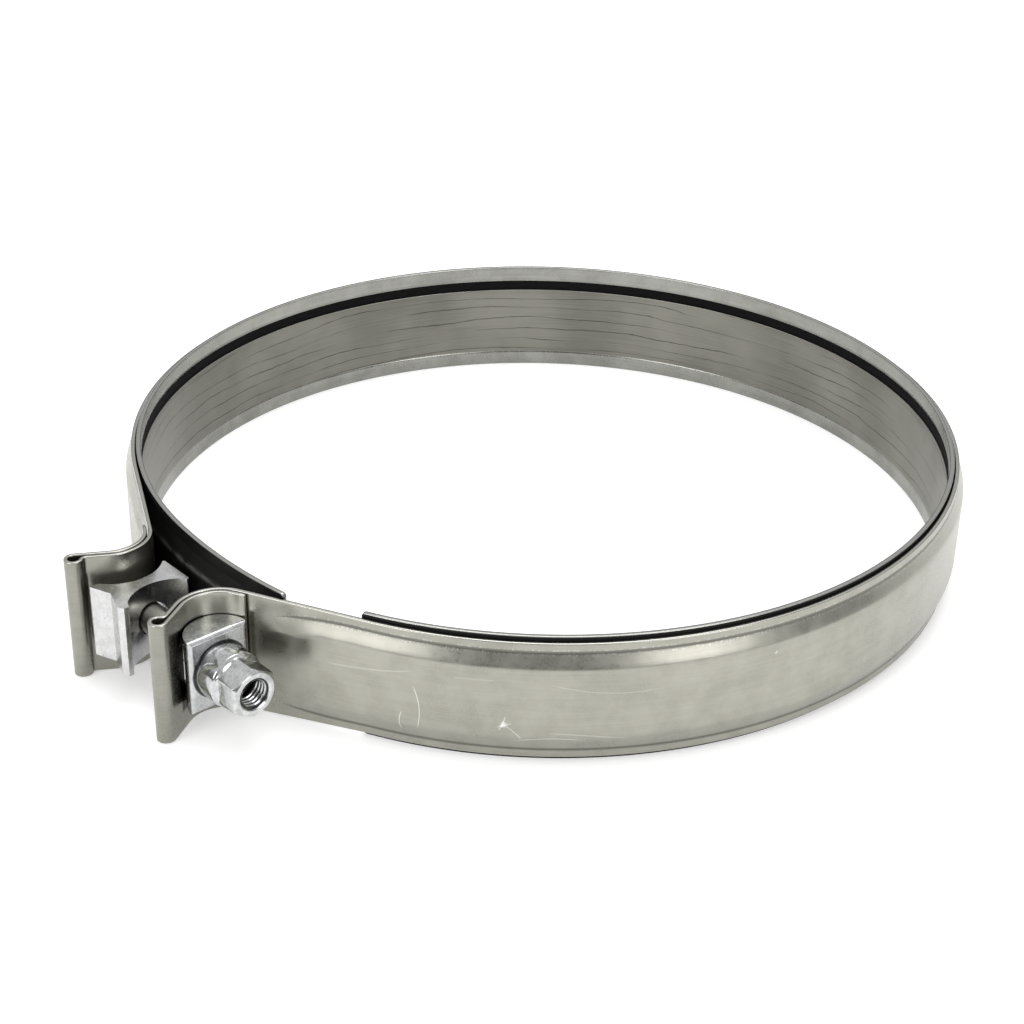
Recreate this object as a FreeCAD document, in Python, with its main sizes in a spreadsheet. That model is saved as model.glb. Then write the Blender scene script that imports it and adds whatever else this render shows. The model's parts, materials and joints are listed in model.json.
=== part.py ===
import FreeCAD, Part
import math
import os

import Sketcher
from FreeCAD import Placement, Rotation, Vector

# Gasketed flat clamp for a large exhaust pipe joint.
# The hoop's axis is Z and the origin lies on it at mid height. The two ears stand out along -Y.
# The bolt runs along X at half height, its head in the left ear (-X) and its nut at the right one (+X).

# Driving sizes in millimetres and degrees
SIZES = (
    ("rim_radius", 145.2, "outer radius of the carrier's two flanges"),
    ("carrier_gauge", 1.6, "sheet thickness of the carrier"),
    ("band_gauge", 1.6, "sheet thickness of the band"),
    ("band_width", 41.4, "height of the band's hoop over its flanges"),
    ("rim_overhang", 1.5, "how far each rim of the carrier stands out past the band's edge"),
    ("nest_clearance", 0.3, "gap between the carrier's outside and the band's inside"),
    ("step_depth", 2.3, "how far the raised centre stands out from the flanges"),
    ("flange_width", 2.25, "height of each of the band's flanges, up to the corner of its shoulder"),
    ("slope_height", 5.2, "height of each shoulder between flange and raised centre"),
    ("bend_radius", 2.4, "radius of the shoulder bends at the middle of the sheet"),
    ("runout_length", 38.0, "length over which the raised centre fades to flat sheet"),
    ("bolt_standoff", 18.0, "distance from the rims' outside to the bolt's axis"),
    ("saddle_offset", 31.0, "distance from the middle plane to each saddle's axis"),
    ("saddle_radius", 14.5, "radius of the saddle on the side that faces the other ear"),
    ("ear_heading", 59.0, "angle of the ear's outer stretch from the X axis"),
    ("ear_straight", 6.7, "length of the straight stretch between saddle and tip"),
    ("layer_gap", 0.2, "slit between the two layers of an ear"),
    ("tip_loop_radius", 2.5, "radius of the rolled tip at the middle of the sheet"),
    ("tip_neck_radius", 1.7, "radius of the neck before the rolled tip, middle of the sheet"),
    ("lap_length", 3.0, "how far the returned layer runs past the saddle towards the hoop"),
    ("ear_overhang", 0.8, "how far an ear is taller than the hoop at each edge"),
    ("ear_drop", 0.6, "how far the middle of the ears lies under mid height"),
    ("window_height", 18.0, "height of the window in each ear"),
    ("window_length", 18.2, "size of the window along Y"),
    ("window_corner", 2.5, "corner radius of the window"),
    ("carrier_gap_angle", 19.5, "turn of the carrier's open gap from the ears"),
    ("carrier_gap_span", 13.0, "opening angle of the carrier"),
    ("facing_thickness", 0.5, "thickness of the facing strip"),
    ("facing_top_margin", 8.7, "height of the band's upper edge over the facing's"),
    ("facing_foot_margin", 4.4, "height of the facing's lower edge over the band's"),
    ("gasket_seat_gap", 0.1, "gap between gasket core, facing and carrier"),
    ("core_edge_gap", 0.3, "gap between the core's bevelled edges and the carrier's shoulders"),
    ("gasket_joint_angle", -8.0, "turn of the gasket's butt joint from the ears"),
    ("gasket_joint_span", 0.4, "opening angle of the gasket's butt joint"),
    ("thread_diameter", 10.0, "nominal diameter of the bolt's thread"),
    ("bolt_end", 41.5, "distance from the middle plane to the bolt's end"),
    ("bolt_chamfer", 1.0, "chamfer on the bolt's end"),
    ("saddle_clearance", 0.3, "gap between a half-round block and its saddle"),
    ("block_height", 26.0, "height of both half-round blocks"),
    ("block_flat_setback", 0.2, "distance of the half-round's flat face from the saddle's axis"),
    ("block_edge", 1.4, "rounding of a half-round block's edges"),
    ("block_bore", 11.0, "clearance bore through the loose half-round block"),
    ("spacer_height", 25.2, "height of the spacer between the ears"),
    ("spacer_web", 4.4, "thickness of the spacer between its two hollows"),
    ("spacer_back", 11.8, "length of the spacer from the bolt towards the hoop, and of its left hollow"),
    ("spacer_short", 11.2, "length of the right hollow away from the hoop"),
    ("horn_length", 15.6, "length of the spacer's left horn from the bolt"),
    ("horn_side", 8.9, "distance of the left horn's tip from the spacer's middle plane"),
    ("notch_length", 12.4, "distance from the bolt to the bottom of the notch in the spacer's front"),
    ("notch_side", 0.6, "distance of the notch from the spacer's middle plane"),
    ("nose_length", 15.2, "length of the spacer's right nose from the bolt"),
    ("nose_side", 9.8, "distance of the nose's tip from the spacer's middle plane"),
    ("nose_width", 2.1, "width of the nose's blunt end"),
    ("spacer_bore", 11.5, "bore through the spacer"),
    ("spacer_place", -9.7, "place of the spacer along the bolt"),
    ("spacer_edge", 0.5, "rounding of the spacer's upright edges"),
    ("collar_diameter", 18.7, "diameter of the nut's round collar"),
    ("collar_length", 9.2, "length of the collar with its cone"),
    ("collar_cone", 0.7, "length and depth of the cone at the collar's end"),
    ("nut_length", 18.5, "overall length of the nut"),
    ("hex_width", 15.0, "width across the nut's flats"),
    ("nut_face_diameter", 14.3, "diameter of the nut's end face"),
    ("nut_chamfer_length", 1.05, "length of the chamfer on the hexagon's corners"),
    ("thread_clearance", 0.05, "radial gap between bolt and nut"),
    ("mouth_chamfer", 0.4, "countersink at the nut's mouth"),
    ("nut_seat_gap", 0.05, "gap between the nut's collar and the block's flat face"),
)

doc = FreeCAD.newDocument("gasketed_flat_clamp")
sheet = doc.addObject("Spreadsheet::Sheet", "Sizes")
for row, (alias, value, meaning) in enumerate(SIZES, start=1):
    sheet.set("A%d" % row, alias)
    sheet.set("B%d" % row, str(value))
    sheet.set("C%d" % row, meaning)
    sheet.setAlias("B%d" % row, alias)
doc.recompute()


def size(alias):
    """The sheet's value of one alias."""
    return float(sheet.get(alias))


def bound(name):
    """The expression that reads one alias."""
    return "<<Sizes>>." + name


# Paths of bent sheet
# A path starts at a point with a heading and goes on by tangent moves: a straight is its length, and
# a bend is its radius, its turn in degrees (left is positive) and the expression of that radius.

def follow(start, heading, moves):
    """Middle line of a bent sheet as tangent stretches, and the point where it ends."""
    stretches = []
    here = Vector(start[0], start[1], 0)
    for move in moves:
        ahead = Vector(math.cos(heading), math.sin(heading), 0)
        left = Vector(-ahead.y, ahead.x, 0)
        if len(move) == 1:
            there = here + ahead * move[0]
            stretches.append({"from": here, "to": there, "left": left})
        else:
            radius, turn, radius_text = move
            side = 1 if turn > 0 else -1
            centre = here + left * radius * side
            heading += math.radians(turn)
            there = centre - Vector(-math.sin(heading), math.cos(heading), 0) * radius * side
            stretches.append({"from": here, "to": there, "centre": centre, "radius": radius,
                              "side": side, "text": radius_text})
        here = there
    return stretches, here


def wall_side(stretch, shift):
    """One side of the sheet along a stretch: its two ends and, for a bend, its new radius."""
    if "centre" not in stretch:
        offset = stretch["left"] * shift
        return stretch["from"] + offset, stretch["to"] + offset, None
    radius = stretch["radius"] - stretch["side"] * shift
    ends = []
    for end in (stretch["from"], stretch["to"]):
        arm = (end - stretch["centre"]).normalize()
        ends.append(stretch["centre"] + arm * radius)
    return ends[0], ends[1], radius


def add_chain(sketch, pieces):
    """Draws tangent lines and arcs as one closed outline and binds each arc's radius."""
    names = []
    for first, last, centre, radius, leftward, text in pieces:
        if centre is None:
            index = sketch.addGeometry(Part.LineSegment(first, last), False)
            names.append((index, 1, 2))
            continue
        circle = Part.Circle(centre, Vector(0, 0, 1), radius)
        angles = [math.atan2(p.y - centre.y, p.x - centre.x) for p in (first, last)]
        if not leftward:
            angles.reverse()
        if angles[1] <= angles[0]:
            angles[1] += 2 * math.pi
        index = sketch.addGeometry(Part.ArcOfCircle(circle, angles[0], angles[1]), False)
        names.append((index, 1, 2) if leftward else (index, 2, 1))
        if text:
            rule = sketch.addConstraint(Sketcher.Constraint("Radius", index, radius))
            sketch.setExpression("Constraints[%d]" % rule, text)
    for (this, _, end), (that, start, _) in zip(names, names[1:] + names[:1]):
        sketch.addConstraint(Sketcher.Constraint("Coincident", this, end, that, start))
    return names


def strip_outline(sketch, stretches, gauge, gauge_text):
    """Closed outline of a sheet of even thickness that follows the stretches."""
    half = gauge / 2
    pieces = []
    for stretch in stretches:
        first, last, radius = wall_side(stretch, half)
        bend = radius is not None
        sign = "-" if bend and stretch["side"] > 0 else "+"
        text = "%s %s %s / 2" % (stretch["text"], sign, gauge_text) if bend else None
        pieces.append((first, last, stretch.get("centre"), radius, bend and stretch["side"] > 0, text))
    left_end = pieces[-1][1]
    left_start = pieces[0][0]
    back = []
    for stretch in reversed(stretches):
        first, last, radius = wall_side(stretch, -half)
        bend = radius is not None
        sign = "+" if bend and stretch["side"] > 0 else "-"
        text = "%s %s %s / 2" % (stretch["text"], sign, gauge_text) if bend else None
        back.append((last, first, stretch.get("centre"), radius, bend and stretch["side"] < 0, text))
    pieces.append((left_end, back[0][0], None, None, False, None))
    pieces.extend(back)
    pieces.append((back[-1][1], left_start, None, None, False, None))
    add_chain(sketch, pieces)


def polygon(sketch, points):
    """Closed outline of straight lines."""
    corners = [Vector(x, y, 0) for x, y in points]
    ends = corners[1:] + corners[:1]
    return add_chain(sketch, [(a, b, None, None, False, None) for a, b in zip(corners, ends)])


def pin_point(sketch, index, corner, across, across_text, up, up_text):
    """Holds one corner of an outline at bound distances from the sketch's axes."""
    for kind, value, text in (("DistanceX", across, across_text), ("DistanceY", up, up_text)):
        rule = sketch.addConstraint(Sketcher.Constraint(kind, -1, 1, index, corner, value))
        sketch.setExpression("Constraints[%d]" % rule, text)


# Bodies, sketches and features

def new_body(label):
    """A body of its own, whose label names its file."""
    body = doc.addObject("PartDesign::Body", label)
    body.Label = label
    return body


def origin_plane(body, role):
    """One of the body's own base planes."""
    for feature in body.Origin.OriginFeatures:
        if feature.Role == role:
            return feature
    raise ValueError("no plane " + role)


def new_sketch(body, name, role):
    """A sketch on one of the body's base planes."""
    sketch = body.newObject("Sketcher::SketchObject", name)
    sketch.AttachmentSupport = [(origin_plane(body, role), "")]
    sketch.MapMode = "FlatFace"
    return sketch


def turn_ring(body, name, sketch, angle_text):
    """Turns a ring's section about the hoop's axis, evenly to both sides of the YZ plane."""
    ring = body.newObject("PartDesign::Revolution", name)
    ring.Profile = sketch
    ring.ReferenceAxis = (sketch, ["V_Axis"])
    ring.Midplane = True
    ring.setExpression("Angle", angle_text)
    return ring


def pad_evenly(body, name, sketch, length_text):
    """Pads a plan outline evenly up and down from mid height."""
    pad = body.newObject("PartDesign::Pad", name)
    pad.Profile = sketch
    pad.Midplane = True
    pad.setExpression("Length", length_text)
    return pad


def bore_along_x(body, name, diameter):
    """A round hole right through the body along X, on the body's own X axis."""
    sketch = new_sketch(body, name + "_circle", "YZ_Plane")
    circle = Part.Circle(Vector(0, 0, 0), Vector(0, 0, 1), size(diameter) / 2)
    index = sketch.addGeometry(circle, False)
    sketch.addConstraint(Sketcher.Constraint("Coincident", index, 3, -1, 1))
    rule = sketch.addConstraint(Sketcher.Constraint("Diameter", index, size(diameter)))
    sketch.setExpression("Constraints[%d]" % rule, bound(diameter))
    bore = body.newObject("PartDesign::Pocket", name)
    bore.Profile = sketch
    bore.Midplane = True
    bore.Type = "ThroughAll"
    return bore


# Stepped section that band and carrier share
# Its middle line runs down the upper flange, out over the shoulder, down the raised centre and back in.

shoulder_angle = math.degrees(math.atan2(size("step_depth"), size("slope_height")))
bend_reach = size("bend_radius") * math.tan(math.radians(shoulder_angle) / 2)
slope_length = math.hypot(size("step_depth"), size("slope_height")) - 2 * bend_reach


def stepped_moves(width, raised):
    """Moves down a stepped section: width over its flanges, raised height at half the step."""
    raised_straight = raised - size("slope_height") - 2 * bend_reach
    flange = (width - raised - size("slope_height")) / 2 - bend_reach
    bend = (size("bend_radius"), shoulder_angle, bound("bend_radius"))
    back = (size("bend_radius"), -shoulder_angle, bound("bend_radius"))
    return [(flange,), bend, (slope_length,), back, (raised_straight,), back, (slope_length,), bend,
            (flange,)]


def move_length(move):
    """Length of one move along the middle of the sheet."""
    return move[0] if len(move) == 1 else move[0] * math.radians(abs(move[1]))


carrier_middle = size("rim_radius") - size("carrier_gauge") / 2
band_middle = size("rim_radius") + size("nest_clearance") + size("band_gauge") / 2
sheet_spacing = band_middle - carrier_middle
shoulder_cosine = math.cos(math.radians(shoulder_angle))
shoulder_shift = sheet_spacing * (1 - shoulder_cosine) / math.sin(math.radians(shoulder_angle))
raised_width = size("band_width") - 2 * size("flange_width") - size("slope_height")
band_moves = stepped_moves(size("band_width"), raised_width)
carrier_raised = raised_width - 2 * shoulder_shift
carrier_height = size("band_width") + 2 * size("rim_overhang")
carrier_moves = stepped_moves(carrier_height, carrier_raised)
DOWNWARD = -math.pi / 2

# Plan of an ear, worked out on the right-hand side
# The band leaves the circle on a straight that is also tangent to the saddle's arc.

bolt_line = size("rim_radius") + size("bolt_standoff")
bolt_line_text = "(%s + %s)" % (bound("rim_radius"), bound("bolt_standoff"))
saddle_middle = size("saddle_radius") - size("band_gauge") / 2
layer_spacing = size("band_gauge") + size("layer_gap")
saddle_distance = math.hypot(size("saddle_offset"), bolt_line)
saddle_bearing = math.atan2(-bolt_line, size("saddle_offset"))
leave_angle = saddle_bearing + math.acos((band_middle + saddle_middle) / saddle_distance)
tangent_length = math.sqrt(saddle_distance ** 2 - (band_middle + saddle_middle) ** 2)
leave_heading = leave_angle - math.pi / 2
hoop_span = 360 - 2 * (math.degrees(leave_angle) + 90)
saddle_turn = -size("ear_heading") - math.degrees(leave_heading)
loop_radius = size("tip_loop_radius")
neck_radius = size("tip_neck_radius")
neck_cosine = (layer_spacing + neck_radius - loop_radius) / (neck_radius + loop_radius)
neck_turn = math.degrees(math.acos(neck_cosine))
return_straight = size("ear_straight") + (neck_radius + loop_radius) * math.sin(math.radians(neck_turn))
ear_height = size("band_width") + 2 * size("ear_overhang")
flat_share = ear_height / sum(move_length(move) for move in band_moves)

# Clamp band: one folded sheet, a stepped hoop that runs out into two ears of doubled sheet

clamp_band = new_body("clamp_band")
hoop_section = new_sketch(clamp_band, "hoop_section", "YZ_Plane")
band_path, _ = follow((band_middle, size("band_width") / 2), DOWNWARD, band_moves)
strip_outline(hoop_section, band_path, size("band_gauge"), bound("band_gauge"))
turn_ring(clamp_band, "hoop", hoop_section, "%.9f" % hoop_span)

leave_point = Vector(math.cos(leave_angle), math.sin(leave_angle), 0) * band_middle
along = Vector(math.cos(leave_heading), math.sin(leave_heading), 0)


def run_out_section(name, place, half_height, moves):
    """A section of the sheet square to the tangent run, at a place along it."""
    section = new_sketch(clamp_band, name, "YZ_Plane")
    turn = Rotation(Vector(0, 1, 0), math.degrees(leave_angle) - 90)
    section.AttachmentOffset = Placement(Vector(place.y, 0, place.x), turn)
    path, _ = follow((0, half_height), DOWNWARD, moves)
    strip_outline(section, path, size("band_gauge"), bound("band_gauge"))
    return section


ear_start = leave_point + along * size("runout_length")
flat_moves = [(move_length(move) * flat_share,) for move in band_moves]
run_start = run_out_section("run_out_start", leave_point, size("band_width") / 2, band_moves)
run_end = run_out_section("run_out_end", ear_start, ear_height / 2 - size("ear_drop"), flat_moves)
run_out = clamp_band.newObject("PartDesign::AdditiveLoft", "run_out")
run_out.Profile = run_start
run_out.Sections = [run_end]
run_out.Ruled = True

ear_plan = new_sketch(clamp_band, "ear_plan", "XY_Plane")
loop_text = bound("tip_loop_radius")
saddle_text = "%s - %s / 2" % (bound("saddle_radius"), bound("band_gauge"))
return_text = "%s - %s * 1.5 - %s" % (bound("saddle_radius"), bound("band_gauge"), bound("layer_gap"))
ear_path, _ = follow((ear_start.x, ear_start.y), leave_heading, [
    (tangent_length - size("runout_length"),),
    (saddle_middle, saddle_turn, saddle_text),
    (size("ear_straight"),),
    (neck_radius, -neck_turn, bound("tip_neck_radius")),
    (loop_radius, 180 + neck_turn, loop_text),
    (return_straight,),
    (saddle_middle - layer_spacing, -saddle_turn, return_text),
    (size("lap_length"),),
])
strip_outline(ear_plan, ear_path, size("band_gauge"), bound("band_gauge"))
ear_plan.setExpression("AttachmentOffset.Base.z", "-" + bound("ear_drop"))
ear = pad_evenly(clamp_band, "ear", ear_plan, "%s + 2 * %s" % (bound("band_width"), bound("ear_overhang")))

both_sides = clamp_band.newObject("PartDesign::Mirrored", "both_sides")
both_sides.Originals = [run_out, ear]
both_sides.MirrorPlane = (origin_plane(clamp_band, "YZ_Plane"), [""])
clamp_band.Tip = both_sides

window_sketch = new_sketch(clamp_band, "window_outline", "YZ_Plane")
half_length = size("window_length") / 2
half_height = size("window_height") / 2
corner = size("window_corner")
window_path, _ = follow((-bolt_line - half_length + corner, -half_height), 0, [
    (2 * (half_length - corner),),
    (corner, 90, bound("window_corner")),
    (2 * (half_height - corner),),
    (corner, 90, bound("window_corner")),
] * 2)
add_chain(window_sketch, [
    (s["from"], s["to"], s.get("centre"), s.get("radius"), s.get("side", 0) > 0, s.get("text"))
    for s in window_path])
windows = clamp_band.newObject("PartDesign::Pocket", "windows")
windows.Profile = window_sketch
windows.Midplane = True
windows.Type = "ThroughAll"

# Gasket carrier: an open ring of the same stepped section, nested inside the hoop

carrier = new_body("gasket_carrier")
carrier.Placement = Placement(Vector(0, 0, 0), Rotation(Vector(0, 0, 1), size("carrier_gap_angle")))
carrier.setExpression("Placement.Rotation.Angle", bound("carrier_gap_angle"))
carrier_section = new_sketch(carrier, "carrier_section", "YZ_Plane")
carrier_path, _ = follow((carrier_middle, carrier_height / 2), DOWNWARD, carrier_moves)
strip_outline(carrier_section, carrier_path, size("carrier_gauge"), bound("carrier_gauge"))
turn_ring(carrier, "carrier_ring", carrier_section, "360 - " + bound("carrier_gap_span"))

# Gasket: a black core that fills the carrier's channel, and a thin facing strip on its inside
# The facing is flush with the inside of the carrier's flanges, and both grip the pipe.

facing_inner = size("rim_radius") - size("carrier_gauge")
facing_outer = facing_inner + size("facing_thickness")
facing_top = size("band_width") / 2 - size("facing_top_margin")
facing_foot = size("facing_foot_margin") - size("band_width") / 2
facing_inner_text = "%s - %s" % (bound("rim_radius"), bound("carrier_gauge"))
facing_outer_text = "%s + %s" % (facing_inner_text, bound("facing_thickness"))
channel_floor = size("rim_radius") + size("step_depth") - size("carrier_gauge")
core_outer = channel_floor - size("gasket_seat_gap")
core_inner = facing_outer + size("gasket_seat_gap")
bevel_shift = size("core_edge_gap") / shoulder_cosine
wall_shift = size("carrier_gauge") / 2 * math.tan(math.radians(shoulder_angle) / 2)


def channel_half(radius):
    """Half height of the channel between its shoulders at a radius inside the channel."""
    share = (channel_floor - radius) / size("step_depth")
    half_floor = (carrier_raised - size("slope_height")) / 2 - wall_shift
    return half_floor + share * size("slope_height") - bevel_shift


gasket_core = new_body("gasket_core")
gasket_facing = new_body("gasket_facing")
for body in (gasket_core, gasket_facing):
    body.Placement = Placement(Vector(0, 0, 0), Rotation(Vector(0, 0, 1), size("gasket_joint_angle")))
    body.setExpression("Placement.Rotation.Angle", bound("gasket_joint_angle"))

core_section = new_sketch(gasket_core, "core_section", "YZ_Plane")
outer_half = channel_half(core_outer)
inner_half = channel_half(core_inner)
core_lines = polygon(core_section, [(core_inner, -inner_half), (core_outer, -outer_half),
                                    (core_outer, outer_half), (core_inner, inner_half)])
core_inner_text = "%s + %s" % (facing_outer_text, bound("gasket_seat_gap"))
pin_point(core_section, core_lines[0][0], 1, core_inner, core_inner_text, -inner_half, "%.9f" % -inner_half)
turn_ring(gasket_core, "core_ring", core_section, "360 - " + bound("gasket_joint_span"))

facing_section = new_sketch(gasket_facing, "facing_section", "YZ_Plane")
facing_lines = polygon(facing_section, [(facing_inner, facing_foot), (facing_outer, facing_foot),
                                        (facing_outer, facing_top), (facing_inner, facing_top)])
pin_point(facing_section, facing_lines[0][0], 1, facing_inner, facing_inner_text,
          facing_foot, "%s - %s / 2" % (bound("facing_foot_margin"), bound("band_width")))
pin_point(facing_section, facing_lines[2][0], 1, facing_outer, facing_outer_text,
          facing_top, "%s / 2 - %s" % (bound("band_width"), bound("facing_top_margin")))
turn_ring(gasket_facing, "facing_ring", facing_section, "360 - " + bound("gasket_joint_span"))

# Half-round blocks: one is forged on the bolt, the other is loose under the nut

ear_thickness = 2 * size("band_gauge") + size("layer_gap")
half_round_radius = size("saddle_radius") - ear_thickness - size("saddle_clearance")
half_round_text = "%s - 2 * %s - %s - %s" % (bound("saddle_radius"), bound("band_gauge"),
                                             bound("layer_gap"), bound("saddle_clearance"))
half_chord = math.sqrt(half_round_radius ** 2 - size("block_flat_setback") ** 2)


def half_round(body, side):
    """Half-moon plan whose round side faces the other ear, with its saddle's axis on the body's origin.

    side is 1 for the right ear and -1 for the left one.
    """
    sketch = new_sketch(body, "half_moon", "XY_Plane")
    flat = -side * size("block_flat_setback")
    low = Vector(flat, -half_chord, 0)
    high = Vector(flat, half_chord, 0)
    centre = Vector(0, 0, 0)
    add_chain(sketch, [(low, high, centre, half_round_radius, side < 0, half_round_text),
                       (high, low, None, None, False, None)])
    return pad_evenly(body, "half_moon_block", sketch, bound("block_height"))


def straight_edges(shape, chooses):
    """Names of the edges of a shape whose middle point is chosen."""
    names = []
    for number, edge in enumerate(shape.Edges, start=1):
        middle = edge.valueAt((edge.FirstParameter + edge.LastParameter) / 2)
        if chooses(middle):
            names.append("Edge%d" % number)
    return names


def round_flat_edges(body, pad, side):
    """Rounds the edges of the flat face."""
    doc.recompute()
    flat = -side * size("block_flat_setback")
    fillet = body.newObject("PartDesign::Fillet", "flat_edges")
    names = straight_edges(pad.Shape, lambda p: abs(p.x - flat) < 0.01)
    fillet.Base = (pad, names)
    fillet.setExpression("Radius", bound("block_edge"))
    return fillet


trunnion_block = new_body("trunnion_block")
trunnion_block.setExpression("Placement.Base.x", bound("saddle_offset"))
trunnion_block.setExpression("Placement.Base.y", "-" + bolt_line_text)
trunnion_pad = half_round(trunnion_block, 1)
round_flat_edges(trunnion_block, trunnion_pad, 1)
bore_along_x(trunnion_block, "bolt_bore", "block_bore")

t_bolt = new_body("t_bolt")
t_bolt.setExpression("Placement.Base.x", "-" + bound("saddle_offset"))
t_bolt.setExpression("Placement.Base.y", "-" + bolt_line_text)
head_pad = half_round(t_bolt, -1)
round_flat_edges(t_bolt, head_pad, -1)
shank_sketch = new_sketch(t_bolt, "shank_section", "XZ_Plane")
shank_radius = size("thread_diameter") / 2
shank_start = size("block_flat_setback") + size("block_edge")
shank_end = size("saddle_offset") + size("bolt_end")
shank_lines = polygon(shank_sketch, [(shank_start, 0), (shank_end, 0),
                                     (shank_end, shank_radius - size("bolt_chamfer")),
                                     (shank_end - size("bolt_chamfer"), shank_radius),
                                     (shank_start, shank_radius)])
pin_point(shank_sketch, shank_lines[1][0], 1, shank_end,
          "%s + %s" % (bound("saddle_offset"), bound("bolt_end")), 0, "0")
shank = t_bolt.newObject("PartDesign::Revolution", "shank")
shank.Profile = shank_sketch
shank.ReferenceAxis = (shank_sketch, ["H_Axis"])
shank.Angle = 360

# Spacer between the ears: each hollow takes the round back of a saddle, with a long horn on the left
# and a blunt nose on the right of a shallow notch in its front

reaction_block = new_body("reaction_block")
reaction_block.setExpression("Placement.Base.x", bound("spacer_place"))
reaction_block.setExpression("Placement.Base.y", "-" + bolt_line_text)
spacer_plan = new_sketch(reaction_block, "spacer_plan", "XY_Plane")
hollow = size("saddle_radius") + size("saddle_clearance")
hollow_text = "%s + %s" % (bound("saddle_radius"), bound("saddle_clearance"))
hollow_axis = Vector(size("spacer_web") / 2 + hollow, 0, 0)


def hollow_point(side, y):
    """Point of a hollow's face at a place along the spacer; side is 1 for the right hollow."""
    return Vector(side * (hollow_axis.x - math.sqrt(hollow ** 2 - y ** 2)), y, 0)


back_left = hollow_point(-1, size("spacer_back"))
back_right = hollow_point(1, size("spacer_back"))
horn_root = hollow_point(-1, -size("spacer_back"))
nose_root = hollow_point(1, -size("spacer_short"))
horn_tip = Vector(-size("horn_side"), -size("horn_length"), 0)
notch = Vector(-size("notch_side"), -size("notch_length"), 0)
nose_tip = Vector(size("nose_side") - size("nose_width"), -size("nose_length"), 0)
nose_side = Vector(size("nose_side"), -size("nose_length") + size("nose_width") / 2, 0)
nose_back = Vector(size("nose_side"), -size("spacer_short") - size("nose_width") / 2, 0)
front = [horn_root, horn_tip, notch, nose_tip, nose_side, nose_back, nose_root]
spacer_outline = [(back_left, horn_root, hollow_axis * -1, hollow, False, hollow_text)]
spacer_outline.extend((a, b, None, None, False, None) for a, b in zip(front, front[1:]))
spacer_outline.append((nose_root, back_right, hollow_axis, hollow, False, hollow_text))
spacer_outline.append((back_right, back_left, None, None, False, None))
add_chain(spacer_plan, spacer_outline)
spacer_pad = pad_evenly(reaction_block, "spacer", spacer_plan, bound("spacer_height"))
doc.recompute()
upright_edges = reaction_block.newObject("PartDesign::Fillet", "upright_edges")
rounded = (back_left, back_right, horn_tip, nose_tip, nose_side, nose_back)
upright_edges.Base = (spacer_pad, straight_edges(spacer_pad.Shape, lambda p: any(
    math.hypot(p.x - edge.x, p.y - edge.y) < 0.01 for edge in rounded)))
upright_edges.setExpression("Radius", bound("spacer_edge"))
bore_along_x(reaction_block, "bolt_bore", "spacer_bore")

# Sleeve nut: a round collar, then a hexagon with chamfered corners and an open threaded mouth

sleeve_nut = new_body("sleeve_nut")
nut_face_text = "%s - %s + %s" % (bound("saddle_offset"), bound("block_flat_setback"), bound("nut_seat_gap"))
sleeve_nut.setExpression("Placement.Base.x", nut_face_text)
sleeve_nut.setExpression("Placement.Base.y", "-" + bolt_line_text)
corner_radius = size("hex_width") / math.sqrt(3)
nut_length = size("nut_length")
hexagon = new_sketch(sleeve_nut, "hexagon", "YZ_Plane")
hex_angles = [math.radians(30 + 60 * number) for number in range(6)]
polygon(hexagon, [(corner_radius * math.cos(a), corner_radius * math.sin(a)) for a in hex_angles])
hex_pad = sleeve_nut.newObject("PartDesign::Pad", "hexagon_bar")
hex_pad.Profile = hexagon
hex_pad.setExpression("Length", bound("nut_length"))

collar_section = new_sketch(sleeve_nut, "collar_section", "XZ_Plane")
collar_radius = size("collar_diameter") / 2
cone_start = size("collar_length") - size("collar_cone")
collar_lines = polygon(collar_section, [(0, 0), (size("collar_length"), 0),
                                        (size("collar_length"), collar_radius - size("collar_cone")),
                                        (cone_start, collar_radius), (0, collar_radius)])
pin_point(collar_section, collar_lines[4][0], 1, 0, "0", collar_radius,
          "%s / 2" % bound("collar_diameter"))
collar = sleeve_nut.newObject("PartDesign::Revolution", "collar")
collar.Profile = collar_section
collar.ReferenceAxis = (collar_section, ["H_Axis"])
collar.Angle = 360


def turn_away(body, name, points):
    """Cuts away what a section sweeps when it turns about the body's own X axis."""
    section = new_sketch(body, name + "_section", "XZ_Plane")
    polygon(section, points)
    groove = body.newObject("PartDesign::Groove", name)
    groove.Profile = section
    groove.ReferenceAxis = (section, ["H_Axis"])
    groove.Angle = 360
    return groove


clear = collar_radius + 1
face_radius = size("nut_face_diameter") / 2
bore_radius = size("thread_diameter") / 2 + size("thread_clearance")
mouth = size("mouth_chamfer")
turn_away(sleeve_nut, "corner_chamfer", [(nut_length - size("nut_chamfer_length"), corner_radius),
                                         (nut_length, face_radius), (nut_length + 1, face_radius),
                                         (nut_length + 1, clear),
                                         (nut_length - size("nut_chamfer_length"), clear)])
turn_away(sleeve_nut, "thread_bore", [(-1, 0), (nut_length + 1, 0), (nut_length + 1, bore_radius + mouth),
                                      (nut_length, bore_radius + mouth), (nut_length - mouth, bore_radius),
                                      (-1, bore_radius)])

# Check and write every piece

NODES = (clamp_band, carrier, gasket_core, gasket_facing, t_bolt, reaction_block, trunnion_block, sleeve_nut)
doc.recompute()
failed = [item.Label for item in doc.Objects if "Invalid" in item.State or "Error" in item.State]
if failed:
    raise RuntimeError("failed: " + ", ".join(failed))
os.makedirs("parts", exist_ok=True)
for node in NODES:
    shape = node.Shape
    if shape.isNull() or not shape.isValid() or len(shape.Solids) != 1:
        raise RuntimeError("bad shape: " + node.Label)
    box = shape.BoundBox
    shape.exportStep("parts/%s.step" % node.Label)
    print("%-15s %9.0f mm3  x %.2f %.2f  y %.2f %.2f  z %.2f %.2f" % (
        node.Label, shape.Volume, box.XMin, box.XMax, box.YMin, box.YMax, box.ZMin, box.ZMax))
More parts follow.
